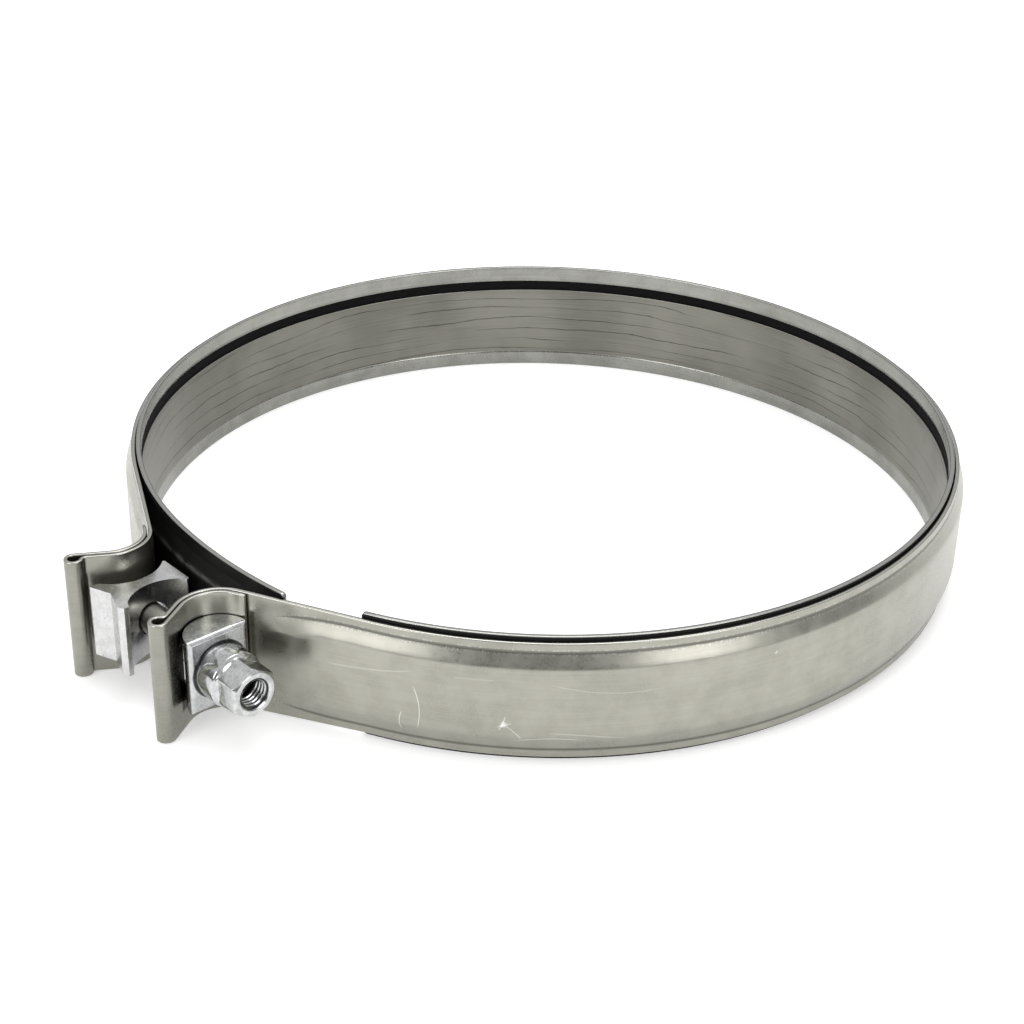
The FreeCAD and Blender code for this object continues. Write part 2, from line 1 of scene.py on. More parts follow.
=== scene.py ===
"""Looks of the gasketed flat clamp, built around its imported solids.

Plan sizes are in millimetres, as on a drawing. +Z is the hoop's axis, the ears stand out along -Y, and the
bolt runs along X. Every mesh is made in metres in the same frame.
"""

import json
import logging
import math
from dataclasses import dataclass
from enum import Enum
from typing import Any, Callable, Optional, Sequence, Union

import bmesh
import bpy
from mathutils import Matrix, Vector

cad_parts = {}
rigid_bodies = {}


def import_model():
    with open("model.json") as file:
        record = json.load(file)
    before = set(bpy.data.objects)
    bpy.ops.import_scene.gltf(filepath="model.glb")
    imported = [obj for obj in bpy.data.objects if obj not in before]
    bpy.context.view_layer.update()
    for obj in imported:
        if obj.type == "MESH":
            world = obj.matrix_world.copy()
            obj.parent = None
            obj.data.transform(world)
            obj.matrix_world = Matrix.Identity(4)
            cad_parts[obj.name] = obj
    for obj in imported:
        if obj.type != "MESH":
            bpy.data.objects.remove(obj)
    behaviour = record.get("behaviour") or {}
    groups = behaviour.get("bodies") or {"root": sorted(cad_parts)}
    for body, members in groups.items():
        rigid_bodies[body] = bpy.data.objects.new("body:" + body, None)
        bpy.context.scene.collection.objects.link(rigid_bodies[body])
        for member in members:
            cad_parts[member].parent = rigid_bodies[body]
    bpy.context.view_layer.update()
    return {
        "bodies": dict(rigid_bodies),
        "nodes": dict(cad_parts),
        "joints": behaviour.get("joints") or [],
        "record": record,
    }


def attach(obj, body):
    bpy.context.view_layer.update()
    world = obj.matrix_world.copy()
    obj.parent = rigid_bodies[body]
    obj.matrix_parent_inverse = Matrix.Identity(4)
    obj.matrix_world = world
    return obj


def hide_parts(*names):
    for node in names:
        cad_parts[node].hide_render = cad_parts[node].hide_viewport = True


MM = 0.001
LOG = logging.getLogger("clamp")


class Body(Enum):
    """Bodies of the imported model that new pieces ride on."""

    CLAMP = "clamp"
    NUT = "nut"


# Shader maths ---------------------------------------------------------------------------------------------


def _operator(operation: str, flipped: bool = False) -> Callable[["Wire", Any], "Wire"]:
    """Makes the method for one arithmetic operator.

    Args:
        operation: Name of the Math node's operation.
        flipped: True for the reflected form, where the wire is the second operand.

    Returns:
        The method.
    """
    def method(wire: "Wire", other: Any) -> "Wire":
        """Result of the operation."""
        return wire.owner.math(operation, *((other, wire) if flipped else (wire, other)))

    return method


class Wire:
    """A node's output that can be used in arithmetic."""

    def __init__(self, owner: "Tree", socket: bpy.types.NodeSocket) -> None:
        """Wraps a socket.

        Args:
            owner: Tree that holds the node.
            socket: Output to wrap.
        """
        self.owner = owner
        self.socket = socket

    __add__ = __radd__ = _operator("ADD")
    __sub__ = _operator("SUBTRACT")
    __rsub__ = _operator("SUBTRACT", True)
    __mul__ = __rmul__ = _operator("MULTIPLY")
    __truediv__ = _operator("DIVIDE")
    __rtruediv__ = _operator("DIVIDE", True)
    __pow__ = _operator("POWER")

    def __abs__(self) -> "Wire":
        """Absolute value."""
        return self.owner.math("ABSOLUTE", self)

    def fraction(self) -> "Wire":
        """Part after the decimal point."""
        return self.owner.math("FRACT", self)

    def held(self) -> "Wire":
        """The value, kept between 0 and 1."""
        return self.owner.math("MAXIMUM", self.owner.math("MINIMUM", self, 1.0), 0.0)

    def ramp(self, low: float, high: float, start: float = 0.0, end: float = 1.0) -> "Wire":
        """Smooth step between two values.

        Args:
            low: Value where the step starts.
            high: Value where the step ends.
            start: Result up to low.
            end: Result from high on.

        Returns:
            The step.
        """
        return self.owner.add(
            "ShaderNodeMapRange",
            {"interpolation_type": "SMOOTHSTEP", "clamp": True},
            {"Value": self, "From Min": low, "From Max": high, "To Min": start, "To Max": end},
        )


Number = Union[float, Wire]
Colour = tuple[float, float, float]


class Tree:
    """A node tree under construction."""

    def __init__(self, tree: bpy.types.NodeTree) -> None:
        """Takes a tree over.

        Args:
            tree: The tree.
        """
        self.tree = tree

    def add(self, kind: str, settings: dict[str, Any], sockets: dict[Any, Any], out: Any = 0) -> Wire:
        """Adds one node.

        Args:
            kind: Type of the node.
            settings: Properties, set before the sockets.
            sockets: Values or wires by socket name or number.
            out: Name or number of the output that is wanted.

        Returns:
            The output.
        """
        node = self.tree.nodes.new(kind)
        for key, value in settings.items():
            setattr(node, key, value)
        for key, value in sockets.items():
            self.feed(node.inputs[key], value)
        return Wire(self, node.outputs[out])

    def feed(self, socket: bpy.types.NodeSocket, value: Any) -> None:
        """Links or sets one input socket.

        Args:
            socket: The input.
            value: A wire, a number, a vector or a colour.
        """
        if isinstance(value, Wire):
            self.tree.links.new(value.socket, socket)
        elif socket.type == "RGBA" and len(value) == 3:
            socket.default_value = (*value, 1.0)
        else:
            socket.default_value = value

    def math(self, operation: str, *values: Any) -> Wire:
        """Adds a Math node.

        Args:
            operation: Name of the operation.
            *values: Its operands in order.

        Returns:
            The result.
        """
        return self.add("ShaderNodeMath", {"operation": operation}, dict(enumerate(values)))

    def split(self, vector: Wire) -> tuple[Wire, Wire, Wire]:
        """X, Y and Z of a vector."""
        node = self.add("ShaderNodeSeparateXYZ", {}, {0: vector}).socket.node
        x, y, z = (Wire(self, socket) for socket in node.outputs)
        return x, y, z


class Shop(Tree):
    """Workshop for one material."""

    MIX_FIRST = 6
    MIX_SECOND = 7
    MIX_RESULT = 2

    def __init__(self, name: str) -> None:
        """Starts a material with one principled shader.

        Args:
            name: Name of the material.
        """
        self.material = bpy.data.materials.new(name)
        self.material.use_nodes = True
        super().__init__(self.material.node_tree)
        self.tree.nodes.clear()
        self.shader = self.tree.nodes.new("ShaderNodeBsdfPrincipled")
        output = self.tree.nodes.new("ShaderNodeOutputMaterial")
        self.tree.links.new(self.shader.outputs["BSDF"], output.inputs["Surface"])

    def place(self, scale: Sequence[float] = (1.0, 1.0, 1.0), shift: Sequence[float] = (0.0, 0.0, 0.0)) -> Wire:
        """Object coordinates in millimetres, stretched and shifted.

        Args:
            scale: Factors along the axes.
            shift: Millimetres added before the stretch.

        Returns:
            The vector.
        """
        spot = self.add("ShaderNodeTexCoord", {}, {}, "Object")
        return self._stretched(spot, scale, shift)

    def sheet(self, scale: Sequence[float] = (1.0, 1.0, 1.0), shift: Sequence[float] = (0.0, 0.0, 0.0)) -> Wire:
        """Place on a sheet in millimetres: along it, and across it.

        Args:
            scale: Factors along and across.
            shift: Millimetres added before the stretch.

        Returns:
            The vector.
        """
        spot = self.add("ShaderNodeUVMap", {"uv_map": "sheet"}, {}, "UV")
        return self._stretched(spot, scale, shift)

    def _stretched(self, spot: Wire, scale: Sequence[float], shift: Sequence[float]) -> Wire:
        """Millimetres from metres, shifted and stretched.

        Args:
            spot: Vector in metres.
            scale: Factors along the axes.
            shift: Millimetres added before the stretch.

        Returns:
            The vector.
        """
        factors = [part / MM for part in scale]
        added = [part * factor for part, factor in zip(shift, scale)]
        return self.add("ShaderNodeVectorMath", {"operation": "MULTIPLY_ADD"}, {0: spot, 1: factors, 2: added})

    def noise(self, vector: Wire, scale: float, detail: float = 2.0, rough: float = 0.5, bend: float = 0.0) -> Wire:
        """Perlin noise between about 0.3 and 0.7.

        Args:
            vector: Place in millimetres.
            scale: Waves per millimetre.
            detail: Number of finer octaves.
            rough: Strength of each finer octave.
            bend: Distortion of the noise.

        Returns:
            The noise.
        """
        values = {"Vector": vector, "Scale": scale, "Detail": detail, "Roughness": rough, "Distortion": bend}
        return self.add("ShaderNodeTexNoise", {}, values)

    def blend(self, share: Number, first: Any, second: Any) -> Wire:
        """Mixes two colours.

        Args:
            share: 0 for the first colour, 1 for the second.
            first: A colour or a wire.
            second: A colour or a wire.

        Returns:
            The mixed colour.
        """
        sockets = {0: share, self.MIX_FIRST: first, self.MIX_SECOND: second}
        return self.add("ShaderNodeMix", {"data_type": "RGBA"}, sockets, self.MIX_RESULT)

    def bump(self, height: Wire, depth: float, under: Optional[Wire] = None) -> Wire:
        """A bumped normal.

        Args:
            height: Relief from 0 to 1.
            depth: Height of the relief in millimetres.
            under: Normal that is bumped already.

        Returns:
            The normal.
        """
        sockets: dict[Any, Any] = {"Height": height, "Distance": depth * MM, "Strength": 1.0}
        if under is not None:
            sockets["Normal"] = under
        return self.add("ShaderNodeBump", {}, sockets)

    def attribute(self, name: str) -> Wire:
        """A number stored on the mesh."""
        return self.add("ShaderNodeAttribute", {"attribute_name": name}, {}, "Fac")

    def finish(self, **values: Any) -> bpy.types.Material:
        """Sets the principled shader's sockets.

        Args:
            **values: Value or wire for each socket, with an underscore for a space.

        Returns:
            The material.
        """
        for key, value in values.items():
            self.feed(self.shader.inputs[key.replace("_", " ")], value)
        return self.material


@dataclass(frozen=True)
class Scratch:
    """A curved scratch on the sheet's outer face, in millimetres along and across the sheet."""

    along: float
    across: float
    length: float
    heading: float
    curve: float = 0.0
    width: float = 0.22
    strength: float = 0.6


@dataclass(frozen=True)
class ShadePatch:
    """Painted shade in a rectangle of the sheet, darkened towards black, in millimetres along and across it."""

    low: tuple[float, float]
    high: tuple[float, float]
    soft: float = 1.5
    strength: float = 0.9


@dataclass(frozen=True)
class RolledSheet:
    """Bare rolled stainless sheet with lengthwise lines, handling marks and scuffed edges, painted shade in hollow
    bends, towards the ear loops, in given patches and on a black outer face, and a painted highlight along the upper
    crease.
    """

    name: str
    light: Colour
    dark: Colour
    edge: Colour
    roughness: float = 0.34
    line_depth: float = 0.004
    # Strength of the painted highlight ticks along the upper crease.
    crease_glint: float = 1.0
    # Share of painted black shade on the outer face, and its colour, which the shade patches use too.
    outer_shade: float = 0.0
    shade_black: Colour = (0.003, 0.003, 0.003)
    # Colour of the painted shade in hollow bends and towards the ear loops.
    painted_shade: Colour = (0.1, 0.098, 0.085)
    # Colour of bare metal in scratches and of the painted highlight along the upper crease.
    bare_and_glint: Colour = (0.85, 0.85, 0.82)
    scratches: tuple[Scratch, ...] = ()
    shade_patches: tuple[ShadePatch, ...] = ()
    upper_crease: tuple[float, float] = (-12.0, -10.0)
    # Span along -Y over which painted shade fades in towards the ear loops.
    ear_shade_span: tuple[float, float] = (-178.0, -166.0)
    # How much of the painted black is left off rounded shoulders.
    shoulder_metal_share: float = 0.75

    def _with_scratch(self, shop: Shop, marks: Wire, scratch: Scratch) -> Wire:
        """Adds a scratch to the marks.

        Args:
            shop: The material's workshop.
            marks: Marks so far.
            scratch: The scratch.

        Returns:
            The marks.
        """
        along, across, _ = shop.split(shop.sheet((1.0, 1.0, 1.0), (-scratch.along, -scratch.across, 0.0)))
        turn = math.radians(scratch.heading)
        ahead = along * math.cos(turn) + across * math.sin(turn)
        aside = across * math.cos(turn) - along * math.sin(turn) + ahead * ahead * scratch.curve
        line = abs(aside).ramp(0.0, scratch.width, 1.0, 0.0)
        line = line * abs(ahead).ramp(scratch.length * 0.35, scratch.length * 0.5, 1.0, 0.0)
        return marks + line * shop.attribute("outer") * scratch.strength

    def build(self) -> bpy.types.Material:
        """Makes the material.

        Returns:
            The material.
        """
        shop = Shop(self.name)
        clouds = shop.noise(shop.place(), 0.018, 3.0, 0.55)
        blots = shop.noise(shop.place((1.0, 1.0, 1.0), (50.0, 9.0, 4.0)), 0.11, 3.0, 0.6)
        grain = shop.noise(shop.place(), 1.1, 1.0, 0.5)
        lines = shop.noise(shop.sheet((0.04, 2.2, 1.0)), 1.0, 2.0, 0.6)
        broad = shop.noise(shop.sheet((0.012, 0.5, 1.0)), 1.0, 2.0, 0.5)
        edge = shop.attribute("edge")
        hollow = shop.attribute("hollow")
        tone = clouds.ramp(0.3, 0.7) * 0.35 + lines.ramp(0.25, 0.75) * 0.17 + broad.ramp(0.3, 0.7) * 0.1
        tone = tone + blots.ramp(0.3, 0.7) * 0.38
        colour = shop.blend(tone, self.dark, self.light)
        # Painted highlight: bright ticks along the upper crease; the scratches added to them are real wear.
        ticks = shop.noise(shop.sheet((1.3, 0.8, 1.0), (3.0, 8.0, 0.0)), 1.0, 3.0, 0.7)
        _, across, _ = shop.split(shop.sheet())
        glint_and_scratches = hollow.ramp(0.02, 0.3) * hollow.ramp(0.3, 0.7, 1.0, 0.0) * across.ramp(*self.upper_crease, 1.0, 0.0)
        glint_and_scratches = glint_and_scratches * ticks.ramp(0.48, 0.66) * self.crease_glint * 0.35
        for scratch in self.scratches:
            glint_and_scratches = self._with_scratch(shop, glint_and_scratches, scratch)
        # Painted shade: hollow bends are darkened, as shade in the creases.
        colour = shop.blend(hollow.ramp(0.12, 0.8) * 0.72, colour, self.painted_shade)
        # Painted shade: the sheet darkens towards the ears' rolled loops.
        _, behind, _ = shop.split(shop.place())
        colour = shop.blend(behind.ramp(*self.ear_shade_span, 0.24, 0.0), colour, self.painted_shade)
        # Painted shade: each patch darkens a rectangle of the sheet towards black.
        for patch in self.shade_patches:
            share: Number = patch.strength
            for part, low, high in zip(shop.split(shop.sheet()), patch.low, patch.high):
                share = part.ramp(low, low + patch.soft) * part.ramp(high - patch.soft, high, 1.0, 0.0) * share
            colour = shop.blend(share, colour, self.shade_black)
        colour = shop.blend(glint_and_scratches, colour, self.bare_and_glint)
        colour = shop.blend(edge * 0.8, colour, self.edge)
        rough = self.roughness + (clouds - 0.5) * 0.16 + (blots - 0.5) * 0.16 + (grain - 0.5) * 0.12 - edge * 0.06
        relief = shop.bump(lines, self.line_depth)
        relief = shop.bump(grain, 0.002, relief)
        relief = shop.bump(glint_and_scratches, 0.006 * self.crease_glint, relief)
        # Painted shade: the outer face is blackened, as deep shade in the gaps beside the band and between the ears;
        # rounded shoulders keep some metal, where a streak of light shows.
        if self.outer_shade:
            shoulder_metal = hollow.ramp(-0.9, -0.1, 1.0, 0.0) * (lines + blots).ramp(0.84, 1.06)
            black = shop.attribute("outer") * (self.outer_shade - shoulder_metal * self.shoulder_metal_share)
            colour = shop.blend(black, colour, self.shade_black)
            rough = rough + black * 0.05
            values = {"Metallic": 1.0 - black, "Specular_IOR_Level": 0.14, "Normal": relief}
            return shop.finish(Base_Color=colour, Roughness=rough, **values)
        return shop.finish(Base_Color=colour, Metallic=1.0, Roughness=rough, Normal=relief)


@dataclass(frozen=True)
class LinedFacing:
    """Thin facing strip with dark hair lines that run lengthwise, waver and break off."""

    name: str
    light: Colour
    dark: Colour
    line: Colour
    rim: Colour = (0.5, 0.5, 0.47)
    spacing: float = 4.6
    roughness: float = 0.42

    def build(self) -> bpy.types.Material:
        """Makes the material.

        Returns:
            The material.
        """
        shop = Shop(self.name)
        along, across, _ = shop.split(shop.sheet())
        sway = shop.noise(shop.sheet((0.012, 0.05, 1.0)), 1.0, 2.0)
        jitter = shop.noise(shop.sheet((0.2, 0.6, 1.0), (5.0, 3.0, 0.0)), 1.0, 2.0)
        steps = (across + sway * 9.0 + jitter * 0.8 + along * 0.009) / self.spacing
        near = abs(steps.fraction() - 0.5)
        there = shop.noise(shop.sheet((0.016, 0.3, 1.0), (71.0, 5.0, 0.0)), 1.0, 2.0).ramp(0.38, 0.56)
        hair = near.ramp(0.015, 0.05, 1.0, 0.0) * there
        clouds = shop.noise(shop.place(), 0.02, 3.0, 0.6)
        lines = shop.noise(shop.sheet((0.03, 2.4, 1.0)), 1.0, 4.0, 0.6)
        tone = clouds.ramp(0.3, 0.7) * 0.6 + lines.ramp(0.25, 0.75) * 0.4
        colour = shop.blend(tone, self.dark, self.light)
        colour = shop.blend(hair * 0.7, colour, self.line)
        colour = shop.blend(shop.attribute("edge") * 0.7, colour, self.rim)
        rough = self.roughness + (lines - 0.5) * 0.25
        relief = shop.bump(lines, 0.006)
        relief = shop.bump(1.0 - hair, 0.03, relief)
        return shop.finish(Base_Color=colour, Metallic=0.95, Roughness=rough, Normal=relief)


@dataclass(frozen=True)
class GraphiteInShade:
    """Matt graphite gasket filling with a fibrous grain, coloured near pure black, darker than graphite, as painted
    shade in its recess.
    """

    name: str
    dark: Colour = (0.0015, 0.0015, 0.0015)
    light: Colour = (0.006, 0.006, 0.006)

    def build(self) -> bpy.types.Material:
        """Makes the material.

        Returns:
            The material.
        """
        shop = Shop(self.name)
        fibres = shop.noise(shop.sheet((0.2, 2.0, 1.0)), 1.0, 4.0, 0.65)
        flecks = shop.noise(shop.place(), 2.2, 2.0, 0.6)
        colour = shop.blend(fibres.ramp(0.35, 0.75), self.dark, self.light)
        rough = 0.85 + (flecks - 0.5) * 0.2
        values = {"Specular_IOR_Level": 0.12, "Normal": shop.bump(fibres, 0.05)}
        return shop.finish(Base_Color=colour, Roughness=rough, **values)


@dataclass(frozen=True)
class ZincPlate:
    """Bright zinc over forged or drawn steel, with grain, specks and cloudy tone, and a ring of painted shade round a
    given axis.
    """

    name: str
    light: Colour = (0.74, 0.76, 0.77)
    dark: Colour = (0.55, 0.56, 0.57)
    # Colour of the specks and of the painted shade ring.
    speck_and_shade: Colour = (0.1, 0.1, 0.1)
    roughness: float = 0.22
    grain_size: float = 0.9
    grain_depth: float = 0.006
    specks: float = 0.5
    axis: Optional[float] = None
    # Radii of the painted shade ring round the axis.
    ring: tuple[float, float] = (4.35, 5.4)

    def build(self) -> bpy.types.Material:
        """Makes the material.

        Returns:
            The material.
        """
        shop = Shop(self.name)
        grain = shop.noise(shop.place(), self.grain_size, 4.0, 0.6)
        clouds = shop.noise(shop.place(), 0.22, 2.0, 0.5)
        pits = shop.noise(shop.place((1.0, 1.0, 1.0), (31.0, 7.0, 3.0)), 1.1, 1.0).ramp(0.74, 0.79) * self.specks
        tone = clouds.ramp(0.3, 0.7) * 0.5 + grain.ramp(0.3, 0.7) * 0.5
        colour = shop.blend(tone, self.dark, self.light)
        colour = shop.blend(pits * 0.7, colour, self.speck_and_shade)
        # Painted shade: a dark ring round the bolt's axis, between the ring's radii.
        if self.axis is not None:
            inner, outer = self.ring
            _, off, height = shop.split(shop.place((1.0, 1.0, 1.0), (0.0, self.axis, 0.0)))
            far = (off * off + height * height) ** 0.5
            ring_shade = far.ramp(inner, inner + 0.5) * far.ramp(outer - 0.3, outer, 1.0, 0.0)
            colour = shop.blend(ring_shade * 0.93, colour, self.speck_and_shade)
        rough = self.roughness + (clouds - 0.5) * 0.16 + (grain - 0.5) * 0.14 + pits * 0.3
        relief = shop.bump(grain, self.grain_depth)
        relief = shop.bump(1.0 - pits, 0.04, relief)
        return shop.finish(Base_Color=colour, Metallic=1.0, Roughness=rough, Normal=relief)


class Finishes:
    """All finishes of the clamp."""

    def __init__(self) -> None:
        """Makes every material once."""
        scratches = (
            Scratch(888.8, 5.0, 16.0, 95.0, 0.022), Scratch(895.1, 11.0, 7.5, 90.0, -0.06),
            Scratch(863.4, 7.2, 6.0, 70.0, 0.03, 0.3, 0.4), Scratch(863.0, 7.8, 5.0, 20.0, 0.0, 0.3, 0.4),
            Scratch(863.2, 7.5, 2.4, 60.0, 0.0, 1.3, 0.45), Scratch(860.4, 9.7, 8.0, 138.0, 0.02, 0.25, 0.45),
            Scratch(850.0, 12.0, 22.0, 2.0, -0.009, 0.2, 0.4), Scratch(838.0, 11.0, 26.0, -6.0, -0.002, 0.2, 0.3),
            Scratch(833.0, -4.4, 36.0, -5.0, 0.006, 0.2, 0.22), Scratch(905.0, -5.2, 30.0, 7.0, 0.004, 0.4, 0.2),
            Scratch(872.0, -8.0, 14.0, 1.0, 0.0, 0.3, 0.15), Scratch(779.0, -9.5, 1.2, 40.0, 0.0, 0.4),
        )
        self.band = RolledSheet(
            "rolled_band", (0.385, 0.377, 0.33), (0.265, 0.26, 0.227), (0.40, 0.40, 0.37), 0.3, scratches=scratches,
            # Painted shade: the dark gap beside the right-hand block, drawn on the ear.
            shade_patches=(ShadePatch((997.8, -15.0), (1013.0, 15.5)),),
        ).build()
        # The carrier's outer face is painted black as shade.
        self.carrier = RolledSheet(
            "rolled_carrier", (0.34, 0.34, 0.315), (0.19, 0.19, 0.172), (0.36, 0.36, 0.345), 0.28, 0.003, 0.3, 0.98
        ).build()
        self.facing = LinedFacing(
            "lined_facing", (0.235, 0.23, 0.20), (0.13, 0.127, 0.11), (0.025, 0.025, 0.022)
        ).build()
        # Graphite core, coloured darker than graphite as painted shade in the recess.
        self.graphite = GraphiteInShade("pressed_graphite").build()
        # Painted shade: a dark ring on the block round the nut collar's seat.
        self.zinc = ZincPlate(
            "zinc_hardware", (0.56, 0.575, 0.575), (0.38, 0.39, 0.39), (0.04, 0.04, 0.04), 0.27, axis=163.2,
            ring=(8.9, 10.1)
        ).build()
        self.head = ZincPlate("zinc_head", (0.56, 0.575, 0.575), (0.38, 0.39, 0.39), roughness=0.27).build()
        # Painted shade: a dark ring in the nut's bore and at the inner edge of its mouth.
        self.nut = ZincPlate(
            "zinc_nut", (0.62, 0.63, 0.63), (0.36, 0.37, 0.37), (0.02, 0.02, 0.02), 0.15, axis=163.2
        ).build()
        self.spacer = ZincPlate(
            "zinc_spacer", (0.62, 0.625, 0.62), (0.46, 0.465, 0.46), roughness=0.24, grain_depth=0.002, specks=1.0
        ).build()
        self.thread = ZincPlate(
            "zinc_thread", (0.45, 0.44, 0.40), (0.24, 0.235, 0.21), roughness=0.36, grain_size=1.8, specks=0.3
        ).build()


# Meshes ---------------------------------------------------------------------------------------------------


@dataclass(frozen=True)
class Station:
    """A place on a sheet's middle line in plan, with the normal on its left."""

    x: float
    y: float
    nx: float
    ny: float

    def mirrored(self) -> "Station":
        """The same place on the other side of the YZ plane."""
        return Station(-self.x, self.y, -self.nx, self.ny)


class PlanPath:
    """Plan line that starts at a point with a heading and goes on by tangent stretches."""

    def __init__(self, x: float, y: float, heading: float) -> None:
        """Starts the line.

        Args:
            x: Start, millimetres.
            y: Start, millimetres.
            heading: Direction in radians from +X.
        """
        self.x = x
        self.y = y
        self.heading = heading
        self.stations = [self._here()]

    def _here(self) -> Station:
        """Station at the line's end."""
        return Station(self.x, self.y, -math.sin(self.heading), math.cos(self.heading))

    def straight(self, length: float, step: float, count: int = 0) -> "PlanPath":
        """Goes straight on.

        Args:
            length: Millimetres.
            step: Largest distance between stations.
            count: Number of stations, if it is fixed.

        Returns:
            The path.
        """
        count = count or max(1, math.ceil(length / step))
        for _ in range(count):
            self.x += math.cos(self.heading) * length / count
            self.y += math.sin(self.heading) * length / count
            self.stations.append(self._here())
        return self

    def bend(self, radius: float, degrees: float, step: float, count: int = 0) -> "PlanPath":
        """Goes round an arc.

        Args:
            radius: Millimetres.
            degrees: Turn, positive to the left.
            step: Largest angle between stations, in degrees.
            count: Number of stations, if it is fixed.

        Returns:
            The path.
        """
        count = count or max(1, math.ceil(abs(degrees) / step))
        side = math.copysign(1.0, degrees)
        turn = math.radians(degrees) / count
        for _ in range(count):
            centre_x = self.x - math.sin(self.heading) * radius * side
            centre_y = self.y + math.cos(self.heading) * radius * side
            self.heading += turn
            self.x = centre_x + math.sin(self.heading) * radius * side
            self.y = centre_y - math.cos(self.heading) * radius * side
            self.stations.append(self._here())
        return self


Section = list[tuple[float, float]]


@dataclass(frozen=True)
class SteppedSection:
    """Middle line of a stepped sheet, from its top edge down: distance outwards, and height."""

    top: float
    foot: float
    head_flange: float
    foot_flange: float
    step: float
    slope: float
    crease: float
    shoulder: float

    def points(self) -> Section:
        """Points of the middle line.

        Returns:
            The points, as many for every section, and closer together in the bends.
        """
        tilt = math.atan2(self.step, self.slope)
        low = self.crease * math.tan(tilt / 2)
        high = self.shoulder * math.tan(tilt / 2)
        slant = math.hypot(self.step, self.slope) - low - high
        centre = self.top - self.foot - self.head_flange - self.foot_flange - 2 * (self.slope + high)
        path = PlanPath(self.top, 0.0, math.pi)
        degrees = math.degrees(tilt)
        path.straight(self.head_flange - low, 0.0, 4).bend(self.crease, degrees, 0.0, 4).straight(slant, 0.0, 4)
        path.bend(self.shoulder, -degrees, 0.0, 5).straight(centre, 0.0, 12).bend(self.shoulder, -degrees, 0.0, 5)
        path.straight(slant, 0.0, 4).bend(self.crease, degrees, 0.0, 4)
        path.straight(self.foot_flange - low, 0.0, 4)
        return [(-station.y, station.x) for station in path.stations]


def run_lengths(points: Section) -> list[float]:
    """Length run along a line up to each point, from its middle.

    Args:
        points: The line's points.

    Returns:
        One length for each point.
    """
    total = [0.0]
    for before, after in zip(points, points[1:]):
        total.append(total[-1] + math.dist(before, after))
    return [value - total[-1] / 2 for value in total]


CORNER_STEPS = 4
END_INSET = 0.2


LoopPoint = tuple[float, float, float, float, float]


def sheet_loop(middle: Section, gauge: float, corner: float, inset: float) -> list[LoopPoint]:
    """Closed outline of a sheet around its middle line, with rounded edges.

    Args:
        middle: Middle line from the top edge down.
        gauge: Thickness.
        corner: Radius of the edges' corners.
        inset: How far the outline is drawn in on all sides.

    Returns:
        Distance outwards, height, nearness to a cut edge, share of the outer face, and hollowness (1 in a
        hollow bend, -1 on a rounded one) for each point.
    """
    half = gauge / 2 - inset
    corner = max(corner - inset, 0.02)
    sides: tuple[list, list] = ([], [])
    count = len(middle)
    for number, (out, height) in enumerate(middle):
        before = middle[max(number - 1, 0)]
        after = middle[min(number + 1, count - 1)]
        length = math.dist(before, after)
        along = ((after[0] - before[0]) / length, (after[1] - before[1]) / length)
        normal = (-along[1], along[0])
        turn = 0.0
        if 0 < number < count - 1:
            first = math.atan2(height - before[1], out - before[0])
            turn = (math.atan2(after[1] - height, after[0] - out) - first + math.pi) % (2 * math.pi) - math.pi
        pull = {0: inset + corner, count - 1: -inset - corner}.get(number, 0.0)
        for side, sign in zip(sides, (1.0, -1.0)):
            spot = (out + along[0] * pull + normal[0] * half * sign, height + along[1] * pull + normal[1] * half * sign)
            side.append((*spot, 0.0, max(sign, 0.0), max(-1.0, min(1.0, sign * turn * 9))))

    def cap(number: int, end: float) -> list[LoopPoint]:
        """Rounded end of the outline, from the first side to the second."""
        out, height = middle[number]
        arc = []
        for sign in (1.0, -1.0):
            for step in range(1, CORNER_STEPS + 1):
                angle = math.pi / 2 * step / (CORNER_STEPS + 1)
                if sign < 0:
                    angle = math.pi / 2 - angle
                across = sign * (half - corner + corner * math.cos(angle))
                ahead = corner * math.sin(angle) - corner - inset
                arc.append((out + across, height + end * ahead, 1.0, 0.0, 0.0))
        return arc

    foot = cap(count - 1, -1.0)
    head = cap(0, 1.0)
    return sides[0] + foot + sides[1][::-1] + head[::-1]


